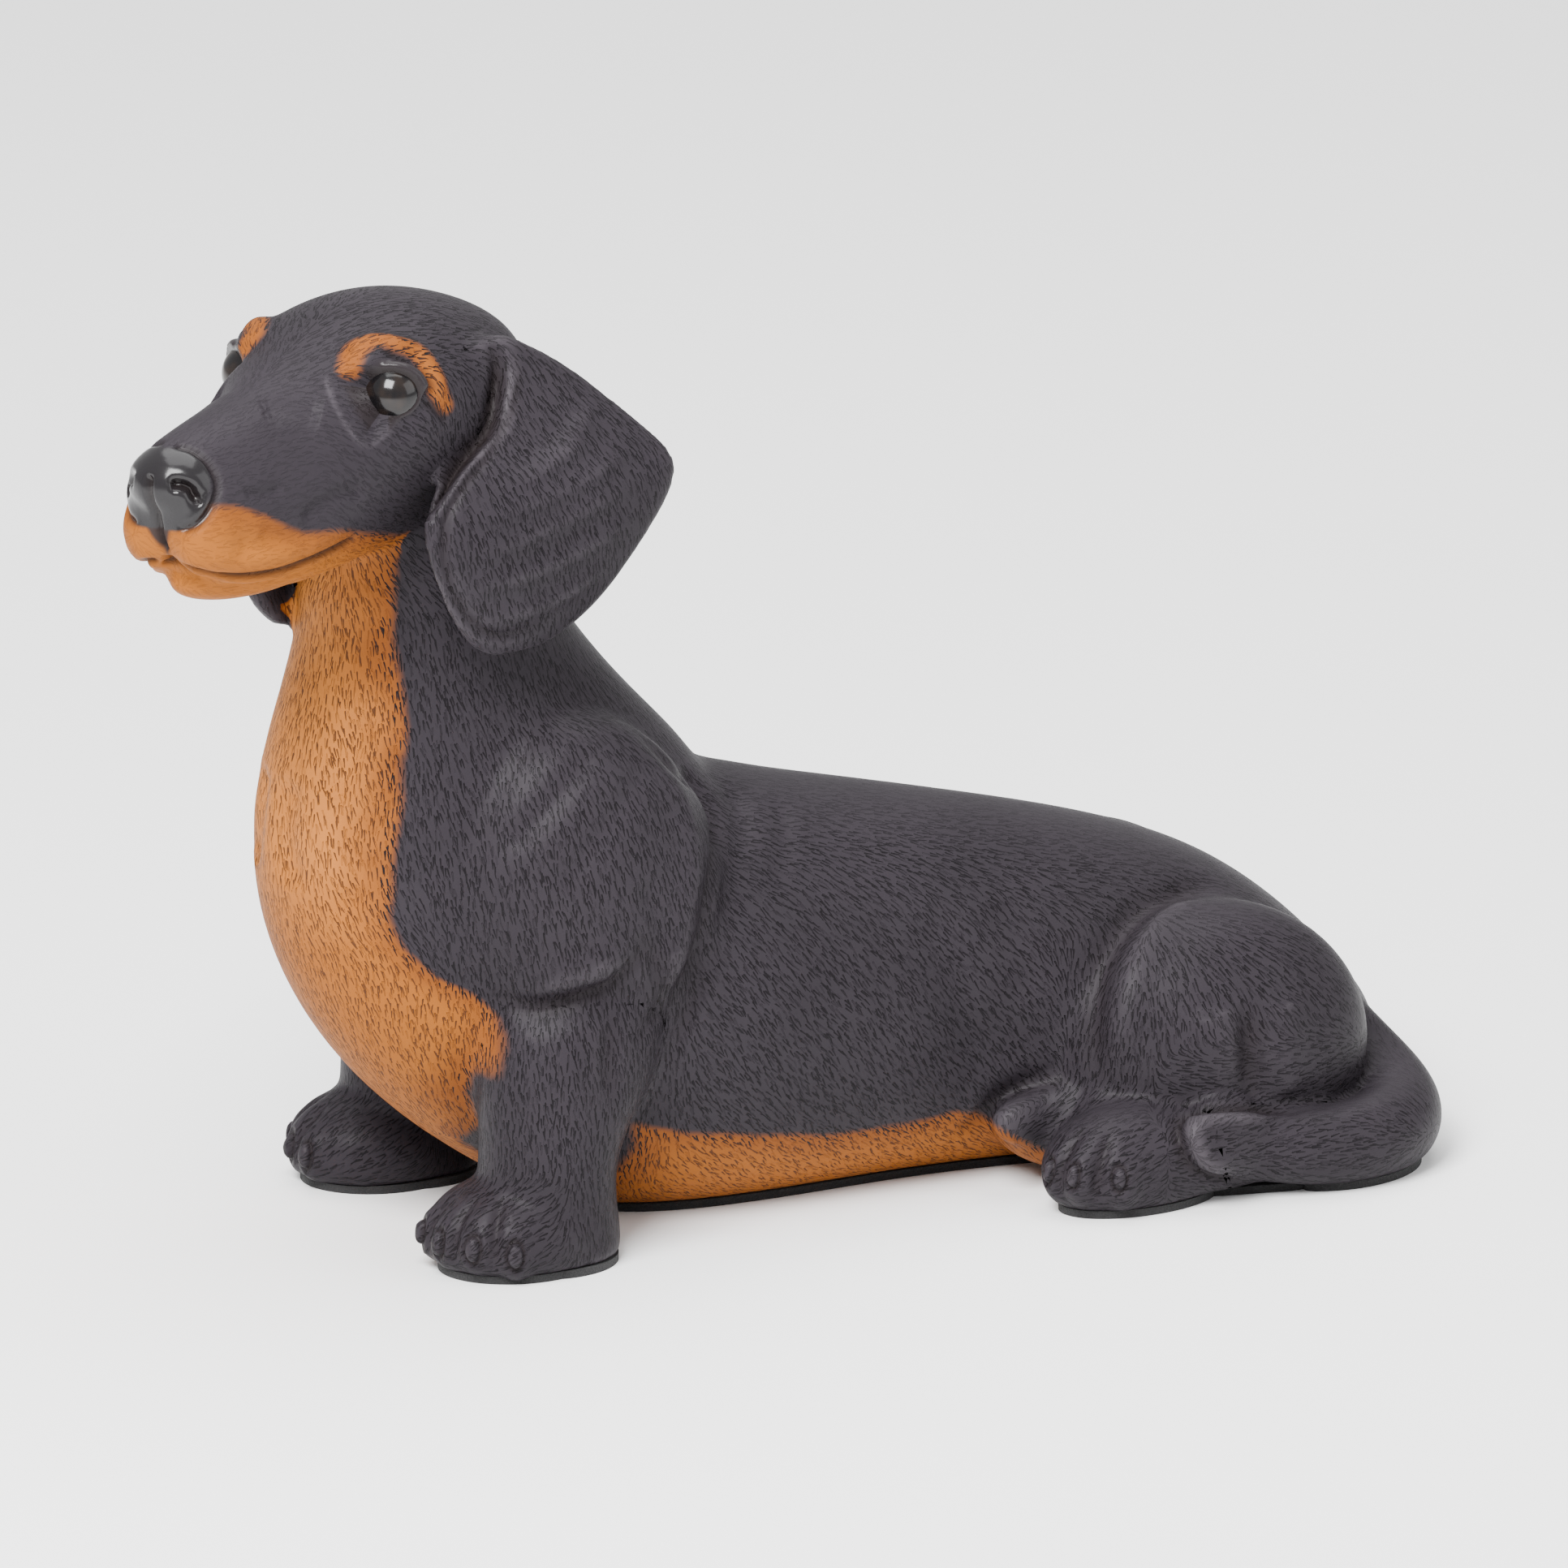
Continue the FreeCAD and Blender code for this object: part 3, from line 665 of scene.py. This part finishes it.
def tan_distance(work):
    """Distance in millimetres to the edge of the tan markings, positive inside, and where the tan is pale."""
    p = work.points
    x, y, z = p.T
    t, s, u = Head.local(p)
    # chest and throat: in front of a line down each side
    edge_x = interp(z, [(0, -84), (24, -80), (38, -79), (47, -77.5), (52, -77.5), (57, -82.5), (60, -88.5),
                        (66, -95), (72, -98), (84, -97), (95, -94.5), (110, -92), (131, -92.5), (145, -93)])
    chest = np.where(u < -36, (edge_x - x) * 0.9, -20)
    keel = np.where(x < -45, np.minimum((52 - z) * 0.8, (24 - np.abs(y)) * 0.8), -20)
    body = np.maximum(chest, keel)
    # belly: below a line along the flank
    line = interp(x, [(-60, 30), (-35, 21), (-17, 18.5), (1, 16), (14, 15.5), (24, 17), (29, 15.5), (33, 13),
                      (38, 10), (46, 6), (52, 0), (60, -5)])
    belly = np.where((x > -60) & (np.abs(y) < 37), line - z, -20)
    body = np.maximum(body, belly)
    paws = (np.hypot((x + 72) / 26, (np.abs(y) - 32.5) / 20) - 1) * 16
    legs = (np.hypot((x + 64.5) / 16.5, (np.abs(y) - 33) / 15) - 1) * 14 + np.maximum(0, z - 38)
    body = np.minimum(body, np.where(np.abs(y) > 10, paws + (legs - paws) * ramp(z, 20, 26), 20))
    # muzzle, lips and jaw
    top = interp(t, [(-25, -33), (-15, -33), (-7, -32), (0, -29.8), (5, -28.3), (17, -25), (26, -23.3),
                     (30, -21.3), (35, -18), (42, -14.6), (48, -13.4), (55, -13)])
    face = np.where((u > -38.5) & (z > 128) & (t > -13), np.minimum(top - u, t + 13), -20)
    flap = (np.abs(s) > 19 + 0.10 * np.abs(u)) & (t < 6) & (z > 110)
    out = np.maximum(body, face)
    out[flap] = -20
    # painted highlight: the tan is painted paler higher up on chest and throat
    pale = ramp(z, 62, 84) * (face < 0)
    for side in SIDES:
        curve = work.laid(on_side(side, BROW), 0.6, face_view(side))
        index, d, share = near_path(p, curve, 9)
        half = interp(share, [(0, 2.9), (0.15, 3.4), (0.5, 2.7), (0.8, 2.5), (1, 1.7)])
        out[index] = np.maximum(out[index], half - d)
        pale[index] = np.maximum(pale[index], d < half + 1)
    return out, pale


def comb_field(p, n):
    """Direction the coat lies in at each point."""
    x, y, z = p.T
    t, s, u = Head.local(p)
    way = np.zeros_like(p)
    way[:] = (0.6, 0.0, -0.8)
    top = ramp(n[:, 2], 0.5, 0.95)[:, None]
    way = way * (1 - top) + np.array([1.0, 0, -0.1]) * top
    neck = (x < -30) & (z > 60)
    way[neck] = (0.25, 0.0, -1.0)
    chest = (x < -60) & (z <= 110)
    way[chest] = (0.25, 0.0, -1.0)
    breast = (x < -60) & (z <= 75) & (np.abs(y) < 30)
    way[breast] = (0.6, 0.0, -0.8)
    leg = (x < -38) & (z <= 60)
    way[leg] = (0.1, 0.0, -1.0)
    paw = (x < -70) & (z < 20)
    way[paw] = (-1.0, 0.0, -0.5)
    thigh = (x > 45) & (np.abs(y) > 30)
    fan = p - np.array([56.0, 0, 78.0])
    fan[:, 1] = 0
    way[thigh] = (fan / np.linalg.norm(fan, axis=1).clip(1)[:, None])[thigh]
    foot = (x < 75) & (x > 25) & (np.abs(y) > 36) & (z < 22)
    way[foot] = (-1.0, 0.0, -0.4)
    tail = (z < 27) & (x > 60) & ((y < -46) | (x > 105))
    way[tail] = np.stack([-(y + 30), -(x - 90), np.zeros_like(x)], 1)[tail]
    head = (z > 131) & (np.abs(s) < 40)
    way[head] = -Head.forward * 1.0
    cheek = head & (t < 20) & (u < 3)
    way[cheek] = -Head.forward * 0.8 - Head.up * 0.6
    skull = head & (u >= 3)
    way[skull] = -Head.forward + np.sign(s[skull])[:, None] * Head.right * 0.4
    ear = (np.abs(s) > 24) & (t < 0) & (u < 8) & (z > 112)
    way[ear] = -Head.up * 1.0 - Head.forward * 0.3
    return way


def paint_values(body, work):
    p, n = work.points, work.normals
    edges = neighbours(body)
    way = spread(comb_field(p, n), edges, 25)
    way -= n * np.sum(way * n, axis=1)[:, None]
    way /= np.linalg.norm(way, axis=1).clip(1e-6)[:, None]
    values(body, "comb", way, "FLOAT_VECTOR")
    markings, pale = tan_distance(work)
    values(body, "tan", spread(markings, edges, 2))
    values(body, "pale", spread(pale, edges, 6))
    t, s, u = Head.local(p)
    # the leather of the nose and the smooth dark lip under it
    nose = 8.0 * (1.0 - (((t - 51.5) / 7.4) ** 4 + (s / 9.9) ** 4 + ((u + 10.3) / 7.7) ** 4) ** 0.25)
    values(body, "nose", nose)
    lip = np.minimum.reduce([t - 44, (3.2 - np.abs(s)) - 0.45 * (-17 - u), -14 - u, u + 24])
    values(body, "lip", lip)
    # how far each point lies below its surroundings; the coat uses it for painted shade in hollows, partly a
    # dark wash, and a painted highlight on rises
    wide = spread(p, edges, 14)
    hollow = np.sum((wide - p) * n, axis=1)
    values(body, "hollow", hollow)
    # coat lines fade on the back and the muzzle and stop at nose, lip, lids and floor
    strokes = 1 - 0.75 * ramp(n[:, 2], 0.75, 0.97) * ramp(p[:, 0], -40, -10)
    strokes *= 1 - ramp(nose, -0.5, 0.5)
    strokes *= 1 - ramp(lip, -0.5, 0.5)
    strokes *= 1 - ramp(work.lid, 0.1, 0.5)
    strokes[p[:, 2] < 1.9] = 0
    strokes *= 1 - 0.45 * ramp(t, -8, 6) * ramp(p[:, 2], 135, 145)
    strokes *= 1 - 0.6 * ramp(t, 5, 20) * ramp(u, -36, -34)
    values(body, "strokes", strokes)


# -------------------- sections
def section_name(obj):
    materials = obj.data.materials
    index = obj.data.polygons[0].material_index if len(materials) > 1 else 0
    return materials[index].name.removeprefix("part_")


def split_sections(body):
    """Parts the skin where the cast sections meet and closes each piece; the joints' shading stays smooth."""
    p, n = points_of(body), vertex_normals(body)
    values(body, "shading", n, "FLOAT_VECTOR")
    trees, boxes = {}, {}
    for node in CAST_NODES:
        mesh = frame["nodes"][node].data
        co = points_of(frame["nodes"][node])
        faces = [tuple(poly.vertices) for poly in mesh.polygons]
        trees[node] = BVHTree.FromPolygons([tuple(q) for q in co], faces)
        boxes[node] = (co.min(0) - 4, co.max(0) + 4)
    count = len(body.data.polygons)
    centres = np.empty(count * 3)
    body.data.polygons.foreach_get("center", centres)
    centres = centres.reshape(-1, 3) / MM
    best = np.full(count, 1e9)
    owner = np.zeros(count, int)
    inside = {node: np.all((centres > lo) & (centres < hi), axis=1) for node, (lo, hi) in boxes.items()}
    contested = sum(inside[node].astype(int) for node in CAST_NODES) > 1
    for k, node in enumerate(CAST_NODES):
        only = inside[node] & ~contested
        owner[only] = k
        for i in np.nonzero(inside[node] & contested)[0]:
            hit = trees[node].find_nearest(Vector(centres[i]))
            if hit[3] is not None and hit[3] < best[i]:
                best[i], owner[i] = hit[3], k
    owner = settle(body, owner)
    for node in CAST_NODES:
        body.data.materials.append(bpy.data.materials.new("part_" + node))
    body.data.polygons.foreach_set("material_index", owner)
    activate(body)
    bpy.ops.object.mode_set(mode="EDIT")
    bpy.ops.mesh.select_all(action="SELECT")
    bpy.ops.mesh.separate(type="MATERIAL")
    bpy.ops.object.mode_set(mode="OBJECT")
    pieces = {}
    for obj in list(bpy.context.selected_objects):
        name = section_name(obj)
        obj.name = "cast_" + name
        obj.data.materials.clear()
        activate(obj)
        bpy.ops.object.mode_set(mode="EDIT")
        bpy.ops.mesh.select_all(action="SELECT")
        bpy.ops.mesh.fill_holes(sides=0)
        bpy.ops.mesh.select_all(action="SELECT")
        bpy.ops.mesh.quads_convert_to_tris()
        bpy.ops.mesh.normals_make_consistent(inside=False)
        bpy.ops.object.mode_set(mode="OBJECT")
        if enclosed_volume(obj) < 0:
            bpy.ops.object.mode_set(mode="EDIT")
            bpy.ops.mesh.flip_normals()
            bpy.ops.object.mode_set(mode="OBJECT")
        bpy.ops.object.shade_smooth()
        shading = np.empty(len(obj.data.vertices) * 3, np.float32)
        obj.data.attributes["shading"].data.foreach_get("vector", shading)
        obj.data.normals_split_custom_set_from_vertices(shading.reshape(-1, 3).tolist())
        pieces[name] = obj
    return pieces


def enclosed_volume(obj):
    p = points_of(obj)
    corners = np.empty(len(obj.data.loops), np.int64)
    obj.data.loops.foreach_get("vertex_index", corners)
    a, b, c = (p[corners.reshape(-1, 3)[:, k]] for k in range(3))
    return float(np.sum(np.cross(a, b) * c)) / 6.0


def settle(body, owner, rounds=4):
    """Gives each face to the section most of its neighbours belong to, so that joints run clean."""
    mesh = body.data
    loops = np.empty(len(mesh.loops), np.int64)
    mesh.loops.foreach_get("edge_index", loops)
    starts = np.empty(len(mesh.polygons), np.int64)
    totals = np.empty(len(mesh.polygons), np.int64)
    mesh.polygons.foreach_get("loop_start", starts)
    mesh.polygons.foreach_get("loop_total", totals)
    face_of_loop = np.repeat(np.arange(len(totals)), totals)
    order = np.argsort(loops, kind="stable")
    edge, face = loops[order], face_of_loop[order]
    same = edge[1:] == edge[:-1]
    a, b = face[:-1][same], face[1:][same]
    for _ in range(rounds):
        votes = np.zeros((len(owner), len(CAST_NODES)))
        np.add.at(votes, (a, owner[b]), 1)
        np.add.at(votes, (b, owner[a]), 1)
        votes[np.arange(len(owner)), owner] += 1.1
        owner = votes.argmax(1)
    return owner


# -------------------- materials
class Nodes:
    """Short ways to lay out a material's nodes."""

    def __init__(self, name):
        self.material = bpy.data.materials.new(name)
        self.material.use_nodes = True
        self.tree = self.material.node_tree
        self.tree.nodes.clear()
        self.output = self.tree.nodes.new("ShaderNodeOutputMaterial")
        self.shader = self.tree.nodes.new("ShaderNodeBsdfPrincipled")
        self.tree.links.new(self.shader.outputs[0], self.output.inputs[0])

    def node(self, kind, *inputs, **values):
        made = self.tree.nodes.new("ShaderNode" + kind)
        for key, value in values.items():
            setattr(made, key, value)
        for socket, value in zip(made.inputs, inputs):
            self.put(socket, value)
        return made

    def put(self, socket, value):
        if value is None:
            return
        if isinstance(value, bpy.types.NodeSocket):
            self.tree.links.new(value, socket)
        else:
            socket.default_value = value

    def math(self, operation, *inputs):
        return self.node("Math", *inputs, operation=operation).outputs[0]

    def times(self, a, b):
        return self.math("MULTIPLY", a, b)

    def plus(self, a, b):
        return self.math("ADD", a, b)

    def minus(self, a, b):
        return self.math("SUBTRACT", a, b)

    def larger(self, a, b):
        return self.math("MAXIMUM", a, b)

    def vector(self, operation, *inputs):
        made = self.node("VectorMath", *inputs, operation=operation)
        return made.outputs["Value"] if operation in ("DOT_PRODUCT", "LENGTH") else made.outputs["Vector"]

    def ramp(self, value, low, high, out_low=0.0, out_high=1.0, soft=True):
        made = self.node("MapRange", value, low, high, out_low, out_high)
        made.interpolation_type = "SMOOTHSTEP" if soft else "LINEAR"
        return made.outputs[0]

    def mix(self, factor, a, b):
        made = self.tree.nodes.new("ShaderNodeMix")
        made.data_type = "RGBA"
        self.put(made.inputs[0], factor)
        for socket, value in ((made.inputs[6], a), (made.inputs[7], b)):
            self.put(socket, (*value, 1.0) if isinstance(value, tuple) and len(value) == 3 else value)
        return made.outputs[2]

    def attribute(self, name, output="Fac"):
        return self.node("Attribute", attribute_name=name).outputs[output]

    def noise(self, position, scale, detail=2.0, roughness=0.5):
        made = self.node("TexNoise")
        self.put(made.inputs["Vector"], position)
        self.put(made.inputs["Scale"], scale)
        self.put(made.inputs["Detail"], detail)
        self.put(made.inputs["Roughness"], roughness)
        return made.outputs[0]

    def set(self, **values):
        for key, value in values.items():
            socket = self.shader.inputs[key.replace("_", " ")]
            self.put(socket, (*value, 1.0) if isinstance(value, tuple) and len(value) == 3 else value)


def stroke_layer(m, position, normal, comb, side, cell, half_length, half_width, seed):
    """Short engraved lines along the coat, one to a cell; returns the line's mask and its random value."""
    turned = m.node("VectorRotate", position, None, None, None, (0.7 * seed, 1.1 * seed, 0.4 * seed),
                    rotation_type="EULER_XYZ").outputs[0]
    scaled = m.vector("SCALE", turned)
    scaled.node.inputs["Scale"].default_value = 1.0 / (cell * MM)
    cells = m.node("TexVoronoi")
    m.put(cells.inputs["Vector"], scaled)
    cells.inputs["Scale"].default_value = 1.0
    cells.inputs["Randomness"].default_value = 0.8
    # the offset from the cell's seed, turned back
    offset = m.vector("SUBTRACT", scaled, cells.outputs["Position"])
    offset = m.node("VectorRotate", offset, None, None, None, (0.7 * seed, 1.1 * seed, 0.4 * seed),
                    rotation_type="EULER_XYZ", invert=True).outputs[0]
    random = m.node("SeparateColor", cells.outputs["Color"])
    along = m.vector("DOT_PRODUCT", offset, comb)
    across = m.vector("DOT_PRODUCT", offset, side)
    below = m.math("ABSOLUTE", m.vector("DOT_PRODUCT", offset, normal))
    tilt = m.times(m.minus(random.outputs[0], 0.5), 0.5)
    across = m.plus(across, m.times(along, tilt))
    long = m.times(along, cell / half_length)
    wide = m.times(across, cell / half_width)
    # a line that starts blunt and ends thin
    taper = m.math("MULTIPLY_ADD", long, 0.5, 1.1)
    reach = m.math("SQRT", m.plus(m.math("POWER", m.times(wide, taper), 2.0),
                                  m.math("POWER", m.math("ABSOLUTE", long), 4.0)))
    mask = m.times(m.ramp(reach, 1.15, 0.75), m.ramp(below, 0.46, 0.36))
    return mask, random.outputs[1]


def coat_material(paint):
    m = Nodes("painted_coat")
    position = m.node("TexCoord").outputs["Object"]
    normal = m.node("NewGeometry").outputs["Normal"]
    comb = m.attribute("comb", "Vector")
    wander = m.noise(position, 90.0, 1.0)
    side = m.vector("NORMALIZE", m.vector("CROSS_PRODUCT", normal, comb))
    masks, darks = [], []
    for seed in range(4):
        mask, random = stroke_layer(m, position, normal, comb, side, 2.2 - 0.12 * seed, 1.0, 0.13, seed + 1)
        masks.append(mask)
        # each line's darkness: a dark wash in the tan and painted shade in the black
        darks.append(m.times(mask, m.ramp(random, 0.15, 0.55, 0.1, 1.0, soft=False)))
    stroke, dark_stroke = masks[0], darks[0]
    for mask, dark in zip(masks[1:], darks[1:]):
        stroke = m.larger(stroke, mask)
        dark_stroke = m.larger(dark_stroke, dark)
    amount = m.attribute("strokes")
    stroke = m.times(stroke, amount)
    dark_stroke = m.times(dark_stroke, amount)
    broad = m.noise(position, 45.0, 3.0)
    fine = m.noise(position, 1400.0, 2.0)
    # tan markings with an airbrushed edge broken by the coat lines
    distance = m.attribute("tan")
    edge = m.minus(distance, m.times(dark_stroke, 2.4))
    edge = m.plus(edge, m.times(m.minus(broad, 0.5), 4.0))
    tan = m.ramp(edge, -1.0, 1.2)
    patchy = m.times(m.minus(broad, 0.5), 10.0)
    depth = m.ramp(m.plus(distance, patchy), 0.0, 9.0)
    tan_colour = m.mix(m.attribute("pale"), tuple(paint.tan), tuple(paint.tan_pale))
    tan_colour = m.mix(depth, tuple(paint.tan_deep), tan_colour)
    tan_colour = m.mix(m.times(dark_stroke, 0.88), tan_colour, (0.045, 0.018, 0.009))
    hollow = m.attribute("hollow")
    black = m.mix(m.ramp(broad, 0.3, 0.7), tuple(c * 0.85 for c in paint.black), tuple(paint.black))
    # painted shade in the coat lines of the black
    black = m.mix(m.times(dark_stroke, 0.92), black, (0.006, 0.005, 0.006))
    # painted highlight: the coat is painted lighter where the skin rises above its surroundings
    black = m.mix(m.ramp(hollow, -0.10, -0.9, 0.0, 0.35), black, (0.085, 0.075, 0.085))
    base = m.mix(tan, black, tan_colour)
    nose = m.ramp(m.attribute("nose"), -0.6, 0.3)
    lip = m.ramp(m.attribute("lip"), -0.8, 0.6)
    base = m.mix(lip, base, (0.030, 0.020, 0.018))
    lids = m.attribute("lid")
    base = m.mix(m.times(lids, 0.8), base, (0.016, 0.013, 0.014))
    base = m.mix(nose, base, (0.010, 0.009, 0.010))
    # painted shade: near-black paint in the grooves' dark marks and in deep hollows
    crease_shade = m.larger(m.attribute("dark"), m.ramp(hollow, 0.25, 1.3, 0.0, 0.8))
    base = m.mix(m.times(crease_shade, 0.85), base, (0.010, 0.007, 0.007))
    rough = m.plus(paint.roughness, m.times(m.minus(fine, 0.5), 0.12))
    rough = m.plus(rough, m.times(tan, 0.10))
    rough = m.minus(rough, m.times(nose, 0.32))
    rough = m.minus(rough, m.times(lids, 0.22))
    height = m.times(stroke, -1.0)
    height = m.plus(height, m.times(fine, 0.16))
    height = m.plus(height, m.times(wander, 0.25))
    bump = m.node("Bump", 1.0, paint.stroke_depth)
    m.put(bump.inputs["Height"], height)
    m.set(Base_Color=base, Roughness=rough, Normal=bump.outputs[0])
    m.set(Coat_Weight=m.larger(m.times(nose, 0.42), m.times(lids, 0.12)))
    m.shader.inputs["Specular IOR Level"].default_value = 0.07
    m.shader.inputs["Coat Roughness"].default_value = 0.2
    return m.material


def glass_material():
    m = Nodes("eye_glass")
    m.set(Roughness=0.14)
    m.shader.inputs["Specular IOR Level"].default_value = 0.35
    position = m.node("TexCoord").outputs["Object"]
    tint = m.noise(position, 260.0)
    m.set(Base_Color=m.mix(m.ramp(tint, 0.35, 0.75), (0.004, 0.0035, 0.004), (0.014, 0.009, 0.007)))
    return m.material


def felt_material():
    m = Nodes("black_felt")
    position = m.node("TexCoord").outputs["Object"]
    fibres = m.noise(position, 2600.0, 4.0, 0.7)
    cloud = m.noise(position, 300.0, 3.0)
    mixed = m.mix(m.ramp(fibres, 0.3, 0.75), (0.003, 0.003, 0.0035), (0.014, 0.013, 0.014))
    m.set(Base_Color=m.mix(m.ramp(cloud, 0.4, 0.9, 0.0, 0.4), mixed, (0.020, 0.019, 0.020)))
    m.set(Roughness=0.95)
    m.shader.inputs["Sheen Weight"].default_value = 0.08
    bump = m.node("Bump", 1.0, 0.0004)
    m.put(bump.inputs["Height"], fibres)
    m.set(Normal=bump.outputs[0])
    return m.material


def backing_material():
    m = Nodes("eye_backing")
    position = m.node("TexCoord").outputs["Object"]
    speck = m.noise(position, 900.0)
    m.set(Base_Color=m.mix(speck, (0.008, 0.008, 0.008), (0.02, 0.02, 0.02)))
    m.set(Roughness=0.6)
    return m.material


def finish_piece(obj, material, node):
    obj.data.materials.clear()
    obj.data.materials.append(material)
    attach(obj, "root")
    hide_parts(node)


# -------------------- operators
class FIGURINE_OT_cast(bpy.types.Operator):
    """Shape the cast body, paint it and part it into its luted sections"""
    bl_idname = "figurine.cast"
    bl_label = "Cast body"

    def execute(self, context):
        body, work = build_body(context.scene.figurine_body)
        paint_values(body, work)
        pieces = split_sections(body)
        missing = set(CAST_NODES) - set(pieces)
        if missing:
            raise RuntimeError("no skin for " + ", ".join(sorted(missing)))
        material = coat_material(context.scene.figurine_paint)
        for node, obj in pieces.items():
            finish_piece(obj, material, node)
        return {"FINISHED"}


class FIGURINE_OT_eyes(bpy.types.Operator):
    """Set the glass eyes and their backing discs"""
    bl_idname = "figurine.eyes"
    bl_label = "Eyes"

    def execute(self, context):
        glass = glass_material()
        backing = backing_material()
        for side, name in SIDES.items():
            deselect()
            bpy.ops.mesh.primitive_uv_sphere_add(segments=64, ring_count=32, radius=EYE_RADIUS * MM,
                                                 location=tuple(eye_centre(side) * MM))
            eye = bpy.context.object
            eye.name = name + "_eye"
            bpy.ops.object.transform_apply(location=True, rotation=True, scale=True)
            bpy.ops.object.shade_smooth()
            finish_piece(eye, glass, name + "_eye_glass")
            disc = frame["nodes"][name + "_eye_backing"]
            disc.data.materials.clear()
            disc.data.materials.append(backing)
        return {"FINISHED"}


class FIGURINE_OT_felts(bpy.types.Operator):
    """Give the felts under the belly and the paws their black felt finish"""
    bl_idname = "figurine.felts"
    bl_label = "Felts"

    def execute(self, context):
        felt = felt_material()
        for node in ("base_felt", "left_paw_felt", "right_paw_felt"):
            sheet = frame["nodes"][node]
            sheet.data.materials.clear()
            sheet.data.materials.append(felt)
        return {"FINISHED"}


def look_at(obj, target):
    way = Vector(target) - obj.location
    obj.rotation_euler = way.to_track_quat("-Z", "Y").to_euler()


class FIGURINE_OT_stage(bpy.types.Operator):
    """Lay the pale floor, the studio lights and the camera"""
    bl_idname = "figurine.stage"
    bl_label = "Stage"

    def execute(self, context):
        stage = context.scene.figurine_stage
        deselect()
        bpy.ops.mesh.primitive_plane_add(size=40.0, location=(0, 0, 0))
        floor = bpy.context.object
        floor.name = "floor"
        m = Nodes("pale_floor")
        m.set(Base_Color=(0.92, 0.92, 0.92), Roughness=0.9)
        floor.data.materials.append(m.material)
        lamps = (("key", (-0.75, -0.65, 1.15), 0.7, 62.0), ("fill", (0.9, -0.9, 0.7), 1.0, 8.0),
                 ("top", (0.1, 0.25, 1.4), 1.2, 22.0))
        for name, place, size, power in lamps:
            bpy.ops.object.light_add(type="AREA", location=place)
            lamp = bpy.context.object
            lamp.name = name
            lamp.data.size = size
            lamp.data.energy = power
            look_at(lamp, (0, 0, 0.07))
        world = bpy.data.worlds.new("studio")
        world.use_nodes = True
        world.node_tree.nodes["Background"].inputs[0].default_value = (1.0, 1.0, 1.0, 1.0)
        world.node_tree.nodes["Background"].inputs[1].default_value = 0.85
        context.scene.world = world
        a, e = stage.azimuth, stage.elevation
        back = Vector((math.sin(a) * math.cos(e), -math.cos(a) * math.cos(e), math.sin(e)))
        bpy.ops.object.camera_add(location=Vector(stage.aim) + back * stage.distance)
        camera = bpy.context.object
        camera.data.lens = stage.lens
        camera.data.sensor_width = 36.0
        look_at(camera, stage.aim)
        camera.data.clip_end = 100.0
        context.scene.camera = camera
        return {"FINISHED"}


class FIGURINE_PT_panel(bpy.types.Panel):
    bl_label = "Figurine"
    bl_idname = "FIGURINE_PT_panel"
    bl_space_type = "VIEW_3D"
    bl_region_type = "UI"
    bl_category = "Figurine"

    def draw(self, context):
        for operator in OPERATORS:
            self.layout.operator(operator.bl_idname)


OPERATORS = (FIGURINE_OT_cast, FIGURINE_OT_eyes, FIGURINE_OT_felts, FIGURINE_OT_stage)
SETTINGS = (("figurine_body", BodySettings), ("figurine_paint", PaintSettings),
            ("figurine_stage", StageSettings))


def register():
    for name, group in SETTINGS:
        bpy.utils.register_class(group)
        setattr(bpy.types.Scene, name, bpy.props.PointerProperty(type=group))
    for cls in OPERATORS + (FIGURINE_PT_panel,):
        bpy.utils.register_class(cls)


def unregister():
    for cls in reversed(OPERATORS + (FIGURINE_PT_panel,)):
        bpy.utils.unregister_class(cls)
    for name, group in reversed(SETTINGS):
        delattr(bpy.types.Scene, name)
        bpy.utils.unregister_class(group)


def main():
    register()
    for operator in OPERATORS:
        group, name = operator.bl_idname.split(".")
        getattr(getattr(bpy.ops, group), name)()


if __name__ == "__main__":
    main()
